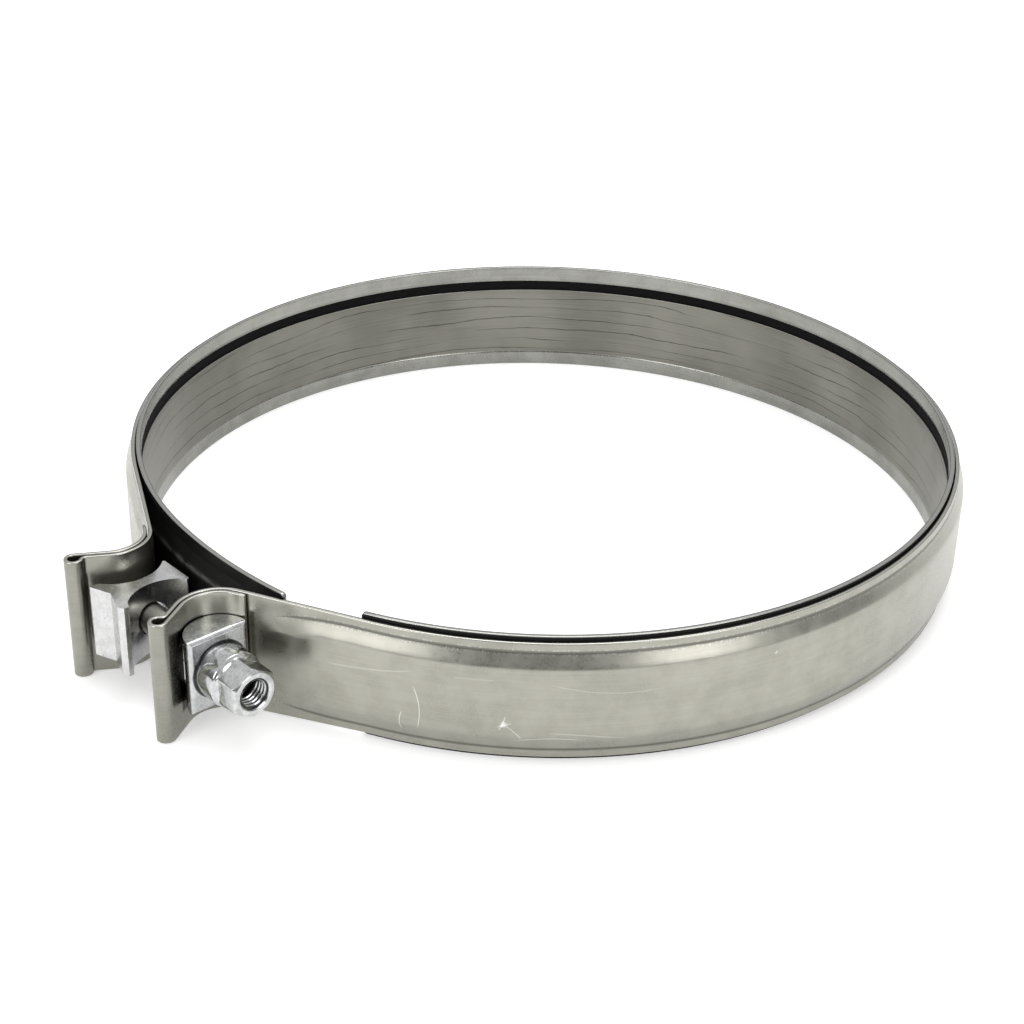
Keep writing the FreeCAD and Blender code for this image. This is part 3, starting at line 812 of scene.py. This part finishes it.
class Sweep:
    """A sheet swept along a plan path, closed at both ends."""

    def __init__(self, name: str) -> None:
        """Starts an empty sweep.

        Args:
            name: Name of the piece.
        """
        self.name = name
        self.points: list[Vector] = []
        self.marks: list[LoopPoint] = []
        self.rows = 0
        self.columns = 0

    def row(self, station: Station, run: float, loop: Sequence[LoopPoint], across: Sequence[float]) -> None:
        """Adds one outline across the sheet.

        Args:
            station: Place in plan.
            run: Length run along the sheet so far.
            loop: Outline as sheet_loop gives it.
            across: Place across the sheet for each point of the outline.
        """
        for (out, height, *shares), side in zip(loop, across):
            spot = (station.x + station.nx * out, station.y + station.ny * out, height)
            self.points.append(Vector(spot) * MM)
            self.marks.append((run * MM, side * MM, *shares))
        self.rows += 1
        self.columns = len(loop)

    def mesh(self, finish: bpy.types.Material, sharp: float = 35.0) -> bpy.types.Object:
        """Makes the object.

        Args:
            finish: Its material.
            sharp: Angle in degrees from which an edge is sharp.

        Returns:
            The object.
        """
        columns = self.columns
        faces = []
        for row in range(self.rows - 1):
            for column in range(columns):
                following = (column + 1) % columns
                low = row * columns
                faces.append((low + column, low + following, low + columns + following, low + columns + column))
        side = (columns - 4 * CORNER_STEPS) // 2
        for base, flip in ((0, False), ((self.rows - 1) * columns, True)):
            strips = []
            back = side + 2 * CORNER_STEPS
            for column in range(side - 1):
                mate = back + side - 1 - column
                strips.append([column, mate, mate - 1, column + 1])
            strips.append(list(range(side - 1, back + 1)))
            strips.append([0] + list(range(columns - 1, back + side - 2, -1)))
            strips[-1].reverse()
            for strip in strips:
                face = [base + index for index in strip]
                faces.append(tuple(reversed(face)) if flip else tuple(face))
        data = bpy.data.meshes.new(self.name)
        data.from_pydata(self.points, [], faces)
        return dress_mesh(self.name, data, finish, self.marks, sharp)


def dress_mesh(name: str, data: bpy.types.Mesh, finish: bpy.types.Material,
               marks: Optional[Sequence[LoopPoint]] = None, sharp: float = 35.0) -> bpy.types.Object:
    """Turns a mesh into an object with outward faces, a sheet map and smooth shading.

    Args:
        name: Name of the object.
        data: The mesh.
        finish: Its material.
        marks: Place along and across the sheet, edge, outer and hollow mark for each vertex.
        sharp: Angle in degrees from which an edge is sharp.

    Returns:
        The object.
    """
    shape = bmesh.new()
    shape.from_mesh(data)
    bmesh.ops.recalc_face_normals(shape, faces=shape.faces)
    if shape.calc_volume(signed=True) < 0:
        bmesh.ops.reverse_faces(shape, faces=shape.faces)
    shape.to_mesh(data)
    shape.free()
    if marks is not None:
        layer = data.uv_layers.new(name="sheet")
        for loop in data.loops:
            layer.data[loop.index].uv = marks[loop.vertex_index][:2]
        for place, key in enumerate(("edge", "outer", "hollow")):
            numbers = data.attributes.new(key, "FLOAT", "POINT")
            numbers.data.foreach_set("value", [mark[2 + place] for mark in marks])
    data.polygons.foreach_set("use_smooth", [True] * len(data.polygons))
    data.set_sharp_from_angle(angle=math.radians(sharp))
    data.materials.append(finish)
    piece = bpy.data.objects.new(name, data)
    bpy.context.scene.collection.objects.link(piece)
    return piece


def across_marks(middle: Section, sides: int) -> list[float]:
    """Place across the sheet for each point of an outline.

    Args:
        middle: The sheet's middle line.
        sides: Number of points in the outline.

    Returns:
        Millimetres from the middle line's middle.
    """
    lengths = run_lengths(middle)
    extra = (sides - 2 * len(lengths)) // 2
    return lengths + [lengths[-1]] * extra + lengths[::-1] + [lengths[0]] * extra


def report(piece: bpy.types.Object) -> None:
    """Logs a finished piece."""
    LOG.info("%s: %d faces", piece.name, len(piece.data.polygons))


# The clamp's sub-assemblies -------------------------------------------------------------------------------


@dataclass
class Band:
    """One folded sheet: stepped hoop, run-outs and two ears of doubled sheet with rolled tips."""

    rim_radius: float = 145.2
    gauge: float = 1.6
    clearance: float = 0.3
    top: float = 20.8
    foot: float = -20.3
    flange: float = 3.2
    step: float = 2.3
    slope: float = 5.2
    crease: float = 3.0
    shoulder: float = 4.0
    head_spread: float = 4.7
    foot_spread: float = 2.6
    spread_power: float = 2.6
    flat_step: float = 0.0002
    runout: float = 38.0
    nose: float = 0.5
    nose_rows: int = 12
    bolt_line: float = 163.2
    saddle_offset: float = 31.0
    saddle_radius: float = 14.5
    ear_heading: float = 59.0
    ear_straight: float = 6.7
    layer_gap: float = 0.2
    loop_radius: float = 2.5
    neck_radius: float = 1.7
    lap: float = 3.0
    ear_height: float = 43.0
    ear_drop: float = 0.6
    window_height: float = 18.0
    window_length: float = 15.6
    window_corner: float = 2.5
    cutter_margin: float = 20.0
    corner: float = 0.42
    fold_thinning: float = 0.26

    def _section(self, share: float) -> Section:
        """Section of the sheet.

        Args:
            share: 0 on the hoop, 1 at the raised centre's nose and on the ears.

        Returns:
            The middle line.
        """
        depth = 1.0
        if share > 1 - self.nose:
            depth = (1 - min(1.0, (share - 1 + self.nose) / self.nose) ** 2) ** 2
        narrow = share ** self.spread_power
        top = self.top + (self.ear_height / 2 - self.ear_drop - self.top) * share
        foot = self.foot + (-self.ear_height / 2 - self.ear_drop - self.foot) * share
        return SteppedSection(top, foot, self.flange + self.head_spread * narrow,
                              self.flange + self.foot_spread * narrow, max(self.step * depth, self.flat_step),
                              self.slope, self.crease, self.shoulder).points()

    def _side(self) -> tuple[list[Station], list[float], float]:
        """Right-hand run-out and ear.

        Returns:
            Stations from the hoop's end to the sheet's end, how far each has faded from the stepped to the
            flat section, and the polar angle where the sheet leaves the hoop.
        """
        middle = self.rim_radius + self.clearance + self.gauge / 2
        saddle = self.saddle_radius - self.gauge / 2
        layer = self.gauge + self.layer_gap
        distance = math.hypot(self.saddle_offset, self.bolt_line)
        leave = math.atan2(-self.bolt_line, self.saddle_offset) + math.acos((middle + saddle) / distance)
        tangent = math.sqrt(distance ** 2 - (middle + saddle) ** 2)
        neck = math.degrees(math.acos((layer + self.neck_radius - self.loop_radius)
                                      / (self.neck_radius + self.loop_radius)))
        back = self.ear_straight + (self.neck_radius + self.loop_radius) * math.sin(math.radians(neck))
        turn = -self.ear_heading - math.degrees(leave - math.pi / 2)
        path = PlanPath(math.cos(leave) * middle, math.sin(leave) * middle, leave - math.pi / 2)
        path.straight(self.runout * (1 - self.nose), 1.6)
        for number in range(self.nose_rows):
            eased = [math.sin(math.pi / 2 * (number + extra) / self.nose_rows) for extra in (0, 1)]
            path.straight(self.runout * self.nose * (eased[1] - eased[0]), self.runout)
        faded = len(path.stations)
        path.straight(tangent - self.runout, 2.0).bend(saddle, turn, 4.0).straight(self.ear_straight, 1.7)
        path.bend(self.neck_radius, -neck, 9.0).bend(self.loop_radius, 180 + neck, 9.0)
        path.straight(back, 1.7).bend(saddle - layer, -turn, 5.0).straight(self.lap, 1.0)
        first = path.stations[0]
        shares = [math.dist((first.x, first.y), (one.x, one.y)) / self.runout for one in path.stations[:faded]]
        return path.stations, shares + [1.0] * (len(path.stations) - faded), leave

    def build(self, finish: bpy.types.Material) -> bpy.types.Object:
        """Makes the band.

        Args:
            finish: Its material.

        Returns:
            The band.
        """
        side, shares, leave = self._side()
        radius = self.rim_radius + self.clearance + self.gauge / 2
        start = math.pi - leave
        hoop = []
        sweep_angle = (start - leave) % (2 * math.pi)
        count = round(math.degrees(sweep_angle))
        for number in range(1, count):
            angle = start - sweep_angle * number / count
            hoop.append(Station(radius * math.cos(angle), radius * math.sin(angle), math.cos(angle), math.sin(angle)))
        stations = [station.mirrored() for station in reversed(side)] + hoop + side
        fades = shares[::-1] + [0.0] * len(hoop) + shares
        sweep = Sweep("band")
        run = 0.0
        last = len(stations) - 1
        for number, (station, share) in enumerate(zip(stations, fades)):
            if number:
                run += math.dist((station.x, station.y), (stations[number - 1].x, stations[number - 1].y))
            middle = self._section(share)
            inset = END_INSET if number in (0, last) else 0.0
            loop = sheet_loop(middle, self.gauge - self.fold_thinning * share, self.corner, inset)
            sweep.row(station, run, loop, across_marks(middle, len(loop)))
        piece = sweep.mesh(finish)
        self._cut_windows(piece)
        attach(piece, Body.CLAMP.value)
        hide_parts("clamp_band")
        report(piece)
        return piece

    def _cut_windows(self, piece: bpy.types.Object) -> None:
        """Cuts the bolt's window through both ears.

        Args:
            piece: The band.
        """
        cutter = bmesh.new()
        corner = self.window_corner
        outline = []
        half_y = self.window_length / 2 - corner
        half_z = self.window_height / 2 - corner
        for quarter, (side_y, side_z) in enumerate(((1, 1), (-1, 1), (-1, -1), (1, -1))):
            for step in range(7):
                angle = math.pi / 2 * (quarter + step / 6)
                outline.append((-self.bolt_line + side_y * half_y + corner * math.cos(angle),
                                side_z * half_z + corner * math.sin(angle)))
        reach = self.saddle_offset + self.cutter_margin
        rings = [[cutter.verts.new(Vector((x, y, z)) * MM) for y, z in outline] for x in (-reach, reach)]
        cutter.faces.new(rings[0][::-1])
        cutter.faces.new(rings[1])
        for first in range(len(outline)):
            second = (first + 1) % len(outline)
            cutter.faces.new((rings[0][first], rings[0][second], rings[1][second], rings[1][first]))
        data = bpy.data.meshes.new("window_tool")
        cutter.to_mesh(data)
        cutter.free()
        tool = bpy.data.objects.new("window_tool", data)
        bpy.context.scene.collection.objects.link(tool)
        cut = piece.modifiers.new("window", "BOOLEAN")
        cut.operation = "DIFFERENCE"
        cut.solver = "EXACT"
        cut.object = tool
        settle(piece)
        bpy.data.objects.remove(tool)


def settle(piece: bpy.types.Object) -> None:
    """Turns a piece with modifiers into a plain mesh.

    Args:
        piece: The piece.
    """
    bpy.context.view_layer.update()
    graph = bpy.context.evaluated_depsgraph_get()
    result = bpy.data.meshes.new_from_object(piece.evaluated_get(graph), depsgraph=graph)
    result.name = piece.name
    piece.modifiers.clear()
    piece.data = result


@dataclass
class Ring:
    """A swept ring of sheet or strip with an opening in it, turned about the hoop's axis."""

    name: str
    node: str
    slot: str
    radius: float
    gauge: float
    gap_from: float
    gap_to: float
    corner: float = 0.3
    end_corner: float = 0.0
    step_degrees: float = 1.0
    spring: float = 0.0
    spring_span: float = 24.0
    flattening: float = 0.5

    def build(self, middle: Section, finish: bpy.types.Material) -> bpy.types.Object:
        """Makes the ring.

        Args:
            middle: Its section's middle line, outwards from the radius.
            finish: Its material.

        Returns:
            The ring.
        """
        sweep = Sweep(self.name)
        span = 360 - (self.gap_to - self.gap_from)
        count = round(span / self.step_degrees)
        angles = [span * number / count for number in range(count + 1)]
        per_mm = math.degrees(1 / self.radius)
        if self.end_corner:
            extra = [self.end_corner * share * per_mm for share in (0.07, 0.2, 0.4, 0.65, 1.0)]
            angles = sorted([0.0, *extra, *angles[2:-2], *(span - value for value in extra), span])
        for number, turned in enumerate(angles):
            angle = math.radians(self.gap_from - turned)
            to_end = min(turned, span - turned) / per_mm
            trim = 0.0
            if self.end_corner and to_end < self.end_corner:
                trim = self.end_corner - math.sqrt(self.end_corner ** 2 - (self.end_corner - to_end) ** 2)
            sprung = max(0.0, 1 - turned / self.spring_span) ** 2 if self.spring else 0.0
            line = [(out * (1 - self.flattening * sprung), height) for out, height in middle]
            if trim:
                line = [(out, max(min(height, middle[0][1] - trim), middle[-1][1] + trim)) for out, height in line]
                line = [(out, height - 0.001 * place) for place, (out, height) in enumerate(line)]
            inset = min(END_INSET, self.gauge / 4) if number in (0, len(angles) - 1) else 0.0
            loop = sheet_loop(line, self.gauge, min(self.corner, self.gauge / 2 - 0.02), inset)
            radius = self.radius + self.spring * sprung
            station = Station(radius * math.cos(angle), radius * math.sin(angle), math.cos(angle), math.sin(angle))
            sweep.row(station, math.radians(turned) * self.radius, loop, across_marks(middle, len(loop)))
        piece = sweep.mesh(finish)
        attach(piece, Body.CLAMP.value)
        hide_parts(self.node)
        report(piece)
        return piece


@dataclass
class Gasket:
    """Carrier, black core and facing strip inside the hoop."""

    rim_radius: float = 145.2
    carrier_gauge: float = 1.6
    carrier_gap: tuple[float, float] = (284.8, 295.0)
    carrier_top: float = 22.2
    spring: float = 3.3
    joint: tuple[float, float] = (261.8, 262.2)
    facing_gauge: float = 0.5
    facing_top: float = 12.0
    facing_foot: float = -16.3
    core_outer: float = 145.8
    core_inner: float = 144.2
    core_half: float = 16.19
    carrier_crease: float = 2.0
    carrier_shoulder: float = 2.4
    carrier_corner: float = 1.2
    flange_trim: float = 0.4

    def build(self, band: Band, finishes: Finishes) -> None:
        """Makes the three rings.

        Args:
            band: The band around them.
            finishes: Their materials.
        """
        shift = (band.gauge / 2 + band.clearance + self.carrier_gauge / 2)
        tilt = math.atan2(band.step, band.slope)
        lean = shift * (1 - math.cos(tilt)) / math.sin(tilt)
        head = band.flange + self.carrier_top - band.top + lean - self.flange_trim
        foot = band.flange + self.carrier_top + band.foot + lean - self.flange_trim
        section = SteppedSection(self.carrier_top, -self.carrier_top, head, foot, band.step, band.slope,
                                 self.carrier_crease, self.carrier_shoulder)
        Ring("carrier", "gasket_carrier", "carrier_steel", self.rim_radius - self.carrier_gauge / 2,
             self.carrier_gauge, *self.carrier_gap, end_corner=self.carrier_corner,
             spring=self.spring).build(section.points(), finishes.carrier)
        facing_radius = self.rim_radius - self.carrier_gauge + self.facing_gauge / 2
        heights = [self.facing_top + (self.facing_foot - self.facing_top) * n / 12 for n in range(13)]
        Ring("facing", "gasket_facing", "facing_steel", facing_radius, self.facing_gauge, *self.joint,
             corner=0.15).build([(0.0, height) for height in heights], finishes.facing)
        core_radius = (self.core_outer + self.core_inner) / 2
        heights = [self.core_half * (1 - n / 8) for n in range(17)]
        Ring("core", "gasket_core", "graphite", core_radius, self.core_outer - self.core_inner, *self.joint,
             corner=0.5).build([(0.0, height) for height in heights], finishes.graphite)


class ThreadTree(Tree):
    """Geometry Nodes tree that cuts a screw thread into a round surface along X."""

    NUMBERS = ("Axis Y", "Axis Z", "Pitch", "Depth", "Start", "End", "Fade", "Reach")
    CREST = 0.14
    FLANK = 0.72
    WALL = 0.8

    def __init__(self) -> None:
        """Builds the tree once."""
        super().__init__(bpy.data.node_groups.new("screw_thread", "GeometryNodeTree"))
        face = self.tree.interface
        face.new_socket("Geometry", in_out="INPUT", socket_type="NodeSocketGeometry")
        for name in self.NUMBERS:
            face.new_socket(name, in_out="INPUT", socket_type="NodeSocketFloat")
        face.new_socket("Finish", in_out="INPUT", socket_type="NodeSocketMaterial")
        face.new_socket("Geometry", in_out="OUTPUT", socket_type="NodeSocketGeometry")
        entry = self.tree.nodes.new("NodeGroupInput")
        given = {socket.name: Wire(self, socket) for socket in entry.outputs}
        x, y, z = self.split(self.add("GeometryNodeInputPosition", {}, {}))
        y = y - given["Axis Y"]
        z = z - given["Axis Z"]
        radius = self.math("SQRT", y * y + z * z)
        turn = self.math("ARCTAN2", z, y) / (2 * math.pi)
        ridge = abs((x / given["Pitch"] - turn).fraction() * 2.0 - 1.0)
        flank = ((ridge - self.CREST) * (1.0 / self.FLANK)).held()
        first = (x - given["Start"]) / given["Fade"]
        second = (given["End"] - x) / given["Fade"]
        mask = self.math("MINIMUM", first, second).held()
        inside = self.math("LESS_THAN", radius, given["Reach"])
        wall = self.math("GREATER_THAN", radius, given["Reach"] * self.WALL)
        share = flank * mask * given["Depth"] * inside * wall / radius
        offset = self.add("ShaderNodeCombineXYZ", {}, {0: 0.0, 1: y * share, 2: z * share})
        moved = self.add("GeometryNodeSetPosition", {}, {"Geometry": given["Geometry"], "Offset": offset})
        real = self.add("GeometryNodeRealizeInstances", {}, {0: moved})
        coated = self.add("GeometryNodeSetMaterial", {}, {"Geometry": real, "Material": given["Finish"]})
        leaving = self.tree.nodes.new("NodeGroupOutput")
        self.feed(leaving.inputs["Geometry"], coated)

    def apply(self, piece: bpy.types.Object, finish: bpy.types.Material, **numbers: float) -> None:
        """Cuts the thread and leaves a plain mesh.

        Args:
            piece: The piece.
            finish: Material of the result.
            **numbers: Input values by name, with an underscore for a space.
        """
        modifier = piece.modifiers.new("thread", "NODES")
        modifier.node_group = self.tree
        for item in self.tree.interface.items_tree:
            if item.in_out != "INPUT" or item.name == "Geometry":
                continue
            value = finish if item.name == "Finish" else numbers[item.name.replace(" ", "_").lower()]
            modifier[item.identifier] = value
        settle(piece)


Radius = Callable[[float], float]
Profile = Sequence[tuple[float, Radius]]


def turned(name: str, axis: tuple[float, float], rows: Profile, finish: bpy.types.Material, closed: bool,
           around: int = 72, sharp: float = 35.0) -> bpy.types.Object:
    """A piece given by its radius at each place along X and each angle.

    Args:
        name: Name of the piece.
        axis: Y and Z of its axis.
        rows: Place along X, and radius for an angle.
        finish: Its material.
        closed: True if the last row joins the first, and False if both ends are closed by a disc.
        around: Number of points around.
        sharp: Angle in degrees from which an edge is sharp.

    Returns:
        The piece.
    """
    shape = bmesh.new()
    rings = []
    for x, radius in rows:
        ring = []
        for number in range(around):
            angle = 2 * math.pi * number / around
            r = radius(angle)
            ring.append(shape.verts.new(Vector((x, axis[0] + r * math.cos(angle), axis[1] + r * math.sin(angle))) * MM))
        rings.append(ring)
    pairs = list(zip(rings, rings[1:]))
    if closed:
        pairs.append((rings[-1], rings[0]))
    for first, second in pairs:
        for number in range(around):
            following = (number + 1) % around
            shape.faces.new((first[number], first[following], second[following], second[number]))
    if not closed:
        shape.faces.new(rings[0])
        shape.faces.new(rings[-1])
    data = bpy.data.meshes.new(name)
    shape.to_mesh(data)
    shape.free()
    return dress_mesh(name, data, finish, None, sharp)


def even(radius: float) -> Radius:
    """A radius that is the same all round."""
    return lambda angle: radius


# Places along the nut and radii there, in millimetres: from its seat, and back from its end face.
NUT_COLLAR = ((0.0, 5.05), (0.0, 9.0), (0.1, 9.24), (0.35, 9.35), (3.0, 9.35), (6.0, 9.35), (8.35, 9.35),
              (8.6, 9.3), (8.8, 9.15), (9.0, 8.92), (9.15, 8.75))
NUT_CHAMFER = ((17.3, 8.78), (17.5, 8.5), (17.75, 8.15), (18.0, 7.8), (18.2, 7.52), (18.35, 7.33),
               (18.45, 7.2), (18.5, 7.0))
NUT_MOUTH = ((0.0, 6.4), (0.0, 5.75), (-0.08, 5.55), (-0.3, 5.3), (-0.5, 5.06))


@dataclass
class Hardware:
    """Bolt, nut, saddle block and spacer."""

    bolt_line: float = 163.2
    bolt_radius: float = 5.0
    bolt_start: float = -30.0
    bolt_end: float = 41.5
    thread_start: float = 13.0
    pitch: float = 1.5
    thread_depth: float = 0.85
    nut_start: float = 30.85
    nut_length: float = 18.5
    hex_width: float = 15.0
    hex_power: int = 130
    cone_power: int = 110
    bore_radius: float = 5.05
    bolt_step: float = 0.15
    nut_step: float = 0.13

    def build(self, frame: dict[str, Any], finishes: Finishes) -> None:
        """Makes or dresses every piece.

        Args:
            frame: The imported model.
            finishes: The materials.
        """
        threads = ThreadTree()
        self._bolt(frame, threads, finishes)
        self._nut(threads, finishes)
        for node, finish in (("trunnion_block", finishes.zinc), ("reaction_block", finishes.spacer)):
            piece = frame["nodes"][node]
            piece.data.materials.clear()
            piece.data.materials.append(finish)
            report(piece)

    def _bolt(self, frame: dict[str, Any], threads: ThreadTree, finishes: Finishes) -> None:
        """Makes the bolt's head and its threaded shank.

        Args:
            frame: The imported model.
            threads: The thread tree.
            finishes: The materials.
        """
        shape = bmesh.new()
        shape.from_mesh(frame["nodes"]["t_bolt"].data)
        bmesh.ops.remove_doubles(shape, verts=shape.verts, dist=1e-6)
        geometry = shape.verts[:] + shape.edges[:] + shape.faces[:]
        cut = bmesh.ops.bisect_plane(shape, geom=geometry, plane_co=(self.bolt_start * MM, 0, 0),
                                     plane_no=(1, 0, 0), clear_outer=True)
        rim = [item for item in cut["geom_cut"] if isinstance(item, bmesh.types.BMEdge)]
        bmesh.ops.holes_fill(shape, edges=rim)
        data = bpy.data.meshes.new("bolt_head")
        shape.to_mesh(data)
        shape.free()
        head = dress_mesh("bolt_head", data, finishes.head)
        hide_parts("t_bolt")
        steps = round((self.bolt_end - 1.0 - self.bolt_start) / self.bolt_step)
        rows = [(self.bolt_start - 0.3 + (self.bolt_end - 0.7 - self.bolt_start) * n / steps, even(self.bolt_radius))
                for n in range(steps + 1)]
        rows.append((self.bolt_end - 0.35, even(self.bolt_radius - 0.65)))
        rows.append((self.bolt_end, even(self.bolt_radius - 1.1)))
        shank = turned("bolt_thread", (-self.bolt_line, 0.0), rows, finishes.thread, False, 64, 50.0)
        threads.apply(shank, finishes.thread, axis_y=-self.bolt_line * MM, axis_z=0.0, pitch=self.pitch * MM,
                      depth=-self.thread_depth * MM, start=self.thread_start * MM, end=(self.bolt_end - 0.3) * MM,
                      fade=1.2 * MM, reach=5.2 * MM)
        for piece in (head, shank):
            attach(piece, Body.CLAMP.value)
            report(piece)

    def _hexagon(self, angle: float) -> float:
        """Distance of the nut's rounded hexagon from its axis.

        Args:
            angle: Angle around the axis.

        Returns:
            Millimetres.
        """
        total = 0.0
        for number in range(6):
            facing = math.cos(angle - math.radians(60 * number))
            if facing > 0:
                total += (facing / (self.hex_width / 2)) ** self.hex_power
        return total ** (-1 / self.hex_power)

    def _nut(self, threads: ThreadTree, finishes: Finishes) -> None:
        """Makes the sleeve nut.

        Args:
            threads: The thread tree.
            finishes: The materials.
        """
        power = self.cone_power

        def hexagonal(limit: float) -> Radius:
            """The hexagon, cut back to a cone's radius with a soft edge."""
            return lambda angle: (self._hexagon(angle) ** -power + limit ** -power) ** (-1 / power)

        def fading(share: float, outer: float) -> Radius:
            """Part of the way from a round shoulder to the hexagon."""
            return lambda angle: outer + (min(self._hexagon(angle), outer) - outer) * share

        start = self.nut_start
        end = start + self.nut_length
        rows: list[tuple[float, Radius]] = [(start + x, even(radius)) for x, radius in NUT_COLLAR]
        for step in range(1, 9):
            share = step / 8
            rows.append((start + 9.15 + 1.0 * share, fading(share * share * (3 - 2 * share), 8.66)))
        for step in range(8):
            rows.append((start + 10.3 + 6.8 * step / 7, hexagonal(9.6 - 0.5 * step / 7)))
        rows.extend((start + x, hexagonal(radius)) for x, radius in NUT_CHAMFER)
        rows.extend((end + x, even(radius)) for x, radius in NUT_MOUTH)
        deep = start + 8.5
        steps = round((end - 0.5 - deep) / self.nut_step)
        rows.extend((end - 0.5 - (end - 0.5 - deep) * n / steps, even(self.bore_radius)) for n in range(1, steps + 1))
        nut = turned("nut", (-self.bolt_line, 0.0), rows, finishes.nut, True, 144, 32.0)
        threads.apply(nut, finishes.nut, axis_y=-self.bolt_line * MM, axis_z=0.0, pitch=self.pitch * MM,
                      depth=-0.8 * MM, start=(self.bolt_end + 0.3) * MM, end=(end - 0.2) * MM, fade=0.6 * MM,
                      reach=5.2 * MM)
        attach(nut, Body.NUT.value)
        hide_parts("sleeve_nut")
        report(nut)


@dataclass
class Studio:
    """Floor, light and camera."""

    camera_place: tuple[float, float, float] = (473.80, -446.49, 345.43)
    camera_right: tuple[float, float, float] = (0.66511, 0.74650, 0.01930)
    camera_up: tuple[float, float, float] = (-0.37399, 0.31063, 0.87386)
    lens: float = 70.9
    floor_z: float = -22.2
    floor_half: float = 12.0
    floor_shade: float = 0.82
    floor_glow: float = 0.34
    sky: tuple[tuple[float, float], ...] = ((0.0, 0.2), (0.26, 0.34), (0.45, 0.85), (1.0, 1.0))

    def build(self) -> None:
        """Makes the studio."""
        self._floor()
        self._world()
        self._lamp("top_softbox", (-0.2, 0.25, 1.3), (0.0, 0.0, 0.0), (0.9, 0.9), 8.5)
        self._lamp("front_softbox", (0.13, -1.55, 0.62), (0.05, -0.12, 0.0), (0.8, 0.6), 8.0)
        self._lamp("right_softbox", (1.55, -0.1, 0.6), (0.12, -0.05, 0.0), (0.7, 0.6), 7.0)
        self._camera()

    def _camera(self) -> None:
        """Sets the camera where the photograph was taken from."""
        data = bpy.data.cameras.new("camera")
        data.sensor_fit = "HORIZONTAL"
        data.sensor_width = 36.0
        data.lens = self.lens
        data.clip_start = 0.02
        data.clip_end = 50.0
        camera = bpy.data.objects.new("camera", data)
        bpy.context.scene.collection.objects.link(camera)
        right = Vector(self.camera_right).normalized()
        up = Vector(self.camera_up).normalized()
        back = right.cross(up)
        turn = Matrix((right, up, back)).transposed().to_4x4()
        camera.matrix_world = Matrix.Translation(Vector(self.camera_place) * MM) @ turn
        bpy.context.scene.camera = camera

    def _floor(self) -> None:
        """A plain pale floor under the clamp."""
        size = self.floor_half
        data = bpy.data.meshes.new("floor")
        height = self.floor_z * MM - 0.0001
        corners = [(-size, -size, height), (size, -size, height), (size, size, height), (-size, size, height)]
        data.from_pydata(corners, [], [(0, 1, 2, 3)])
        shop = Shop("pale_floor")
        values = {"Emission_Color": (1.0, 1.0, 1.0, 1.0), "Emission_Strength": self.floor_glow}
        data.materials.append(shop.finish(Base_Color=(self.floor_shade,) * 3, Roughness=0.9, **values))
        floor = bpy.data.objects.new("floor", data)
        bpy.context.scene.collection.objects.link(floor)

    def _world(self) -> None:
        """Even light from all round, brighter overhead."""
        world = bpy.data.worlds.new("studio")
        world.use_nodes = True
        tree = world.node_tree
        tree.nodes.clear()
        spot = tree.nodes.new("ShaderNodeTexCoord")
        split = tree.nodes.new("ShaderNodeSeparateXYZ")
        ramp = tree.nodes.new("ShaderNodeValToRGB")
        shade = tree.nodes.new("ShaderNodeBackground")
        output = tree.nodes.new("ShaderNodeOutputWorld")
        elements = ramp.color_ramp.elements
        while len(elements) < len(self.sky):
            elements.new(0.5)
        for element, (place, value) in zip(elements, self.sky):
            element.position = place
            element.color = (value, value, value, 1.0)
        tree.links.new(spot.outputs["Generated"], split.inputs[0])
        tree.links.new(split.outputs[2], ramp.inputs[0])
        tree.links.new(ramp.outputs[0], shade.inputs["Color"])
        tree.links.new(shade.outputs[0], output.inputs["Surface"])
        bpy.context.scene.world = world

    def _lamp(self, name: str, place: Sequence[float], aim: Sequence[float], size: Sequence[float],
              power: float) -> None:
        """Adds a soft rectangular light.

        Args:
            name: Its name.
            place: Where it hangs, in metres.
            aim: What it points at, in metres.
            size: Width and height in metres.
            power: Watts.
        """
        data = bpy.data.lights.new(name, "AREA")
        data.shape = "RECTANGLE"
        data.size, data.size_y = size
        data.energy = power
        lamp = bpy.data.objects.new(name, data)
        bpy.context.scene.collection.objects.link(lamp)
        heading = Vector(aim) - Vector(place)
        lamp.matrix_world = Matrix.Translation(Vector(place)) @ heading.to_track_quat("-Z", "Y").to_matrix().to_4x4()


def main() -> None:
    """Builds the clamp, its finishes and the studio in order."""
    logging.basicConfig(level=logging.INFO, format="%(name)s %(message)s")
    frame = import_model()
    view = bpy.context.scene.view_settings
    view.view_transform = "Standard"
    view.look = "None"
    finishes = Finishes()
    Studio().build()
    band = Band()
    band.build(finishes.band)
    Gasket().build(band, finishes)
    Hardware().build(frame, finishes)


if __name__ == "__main__":
    main()
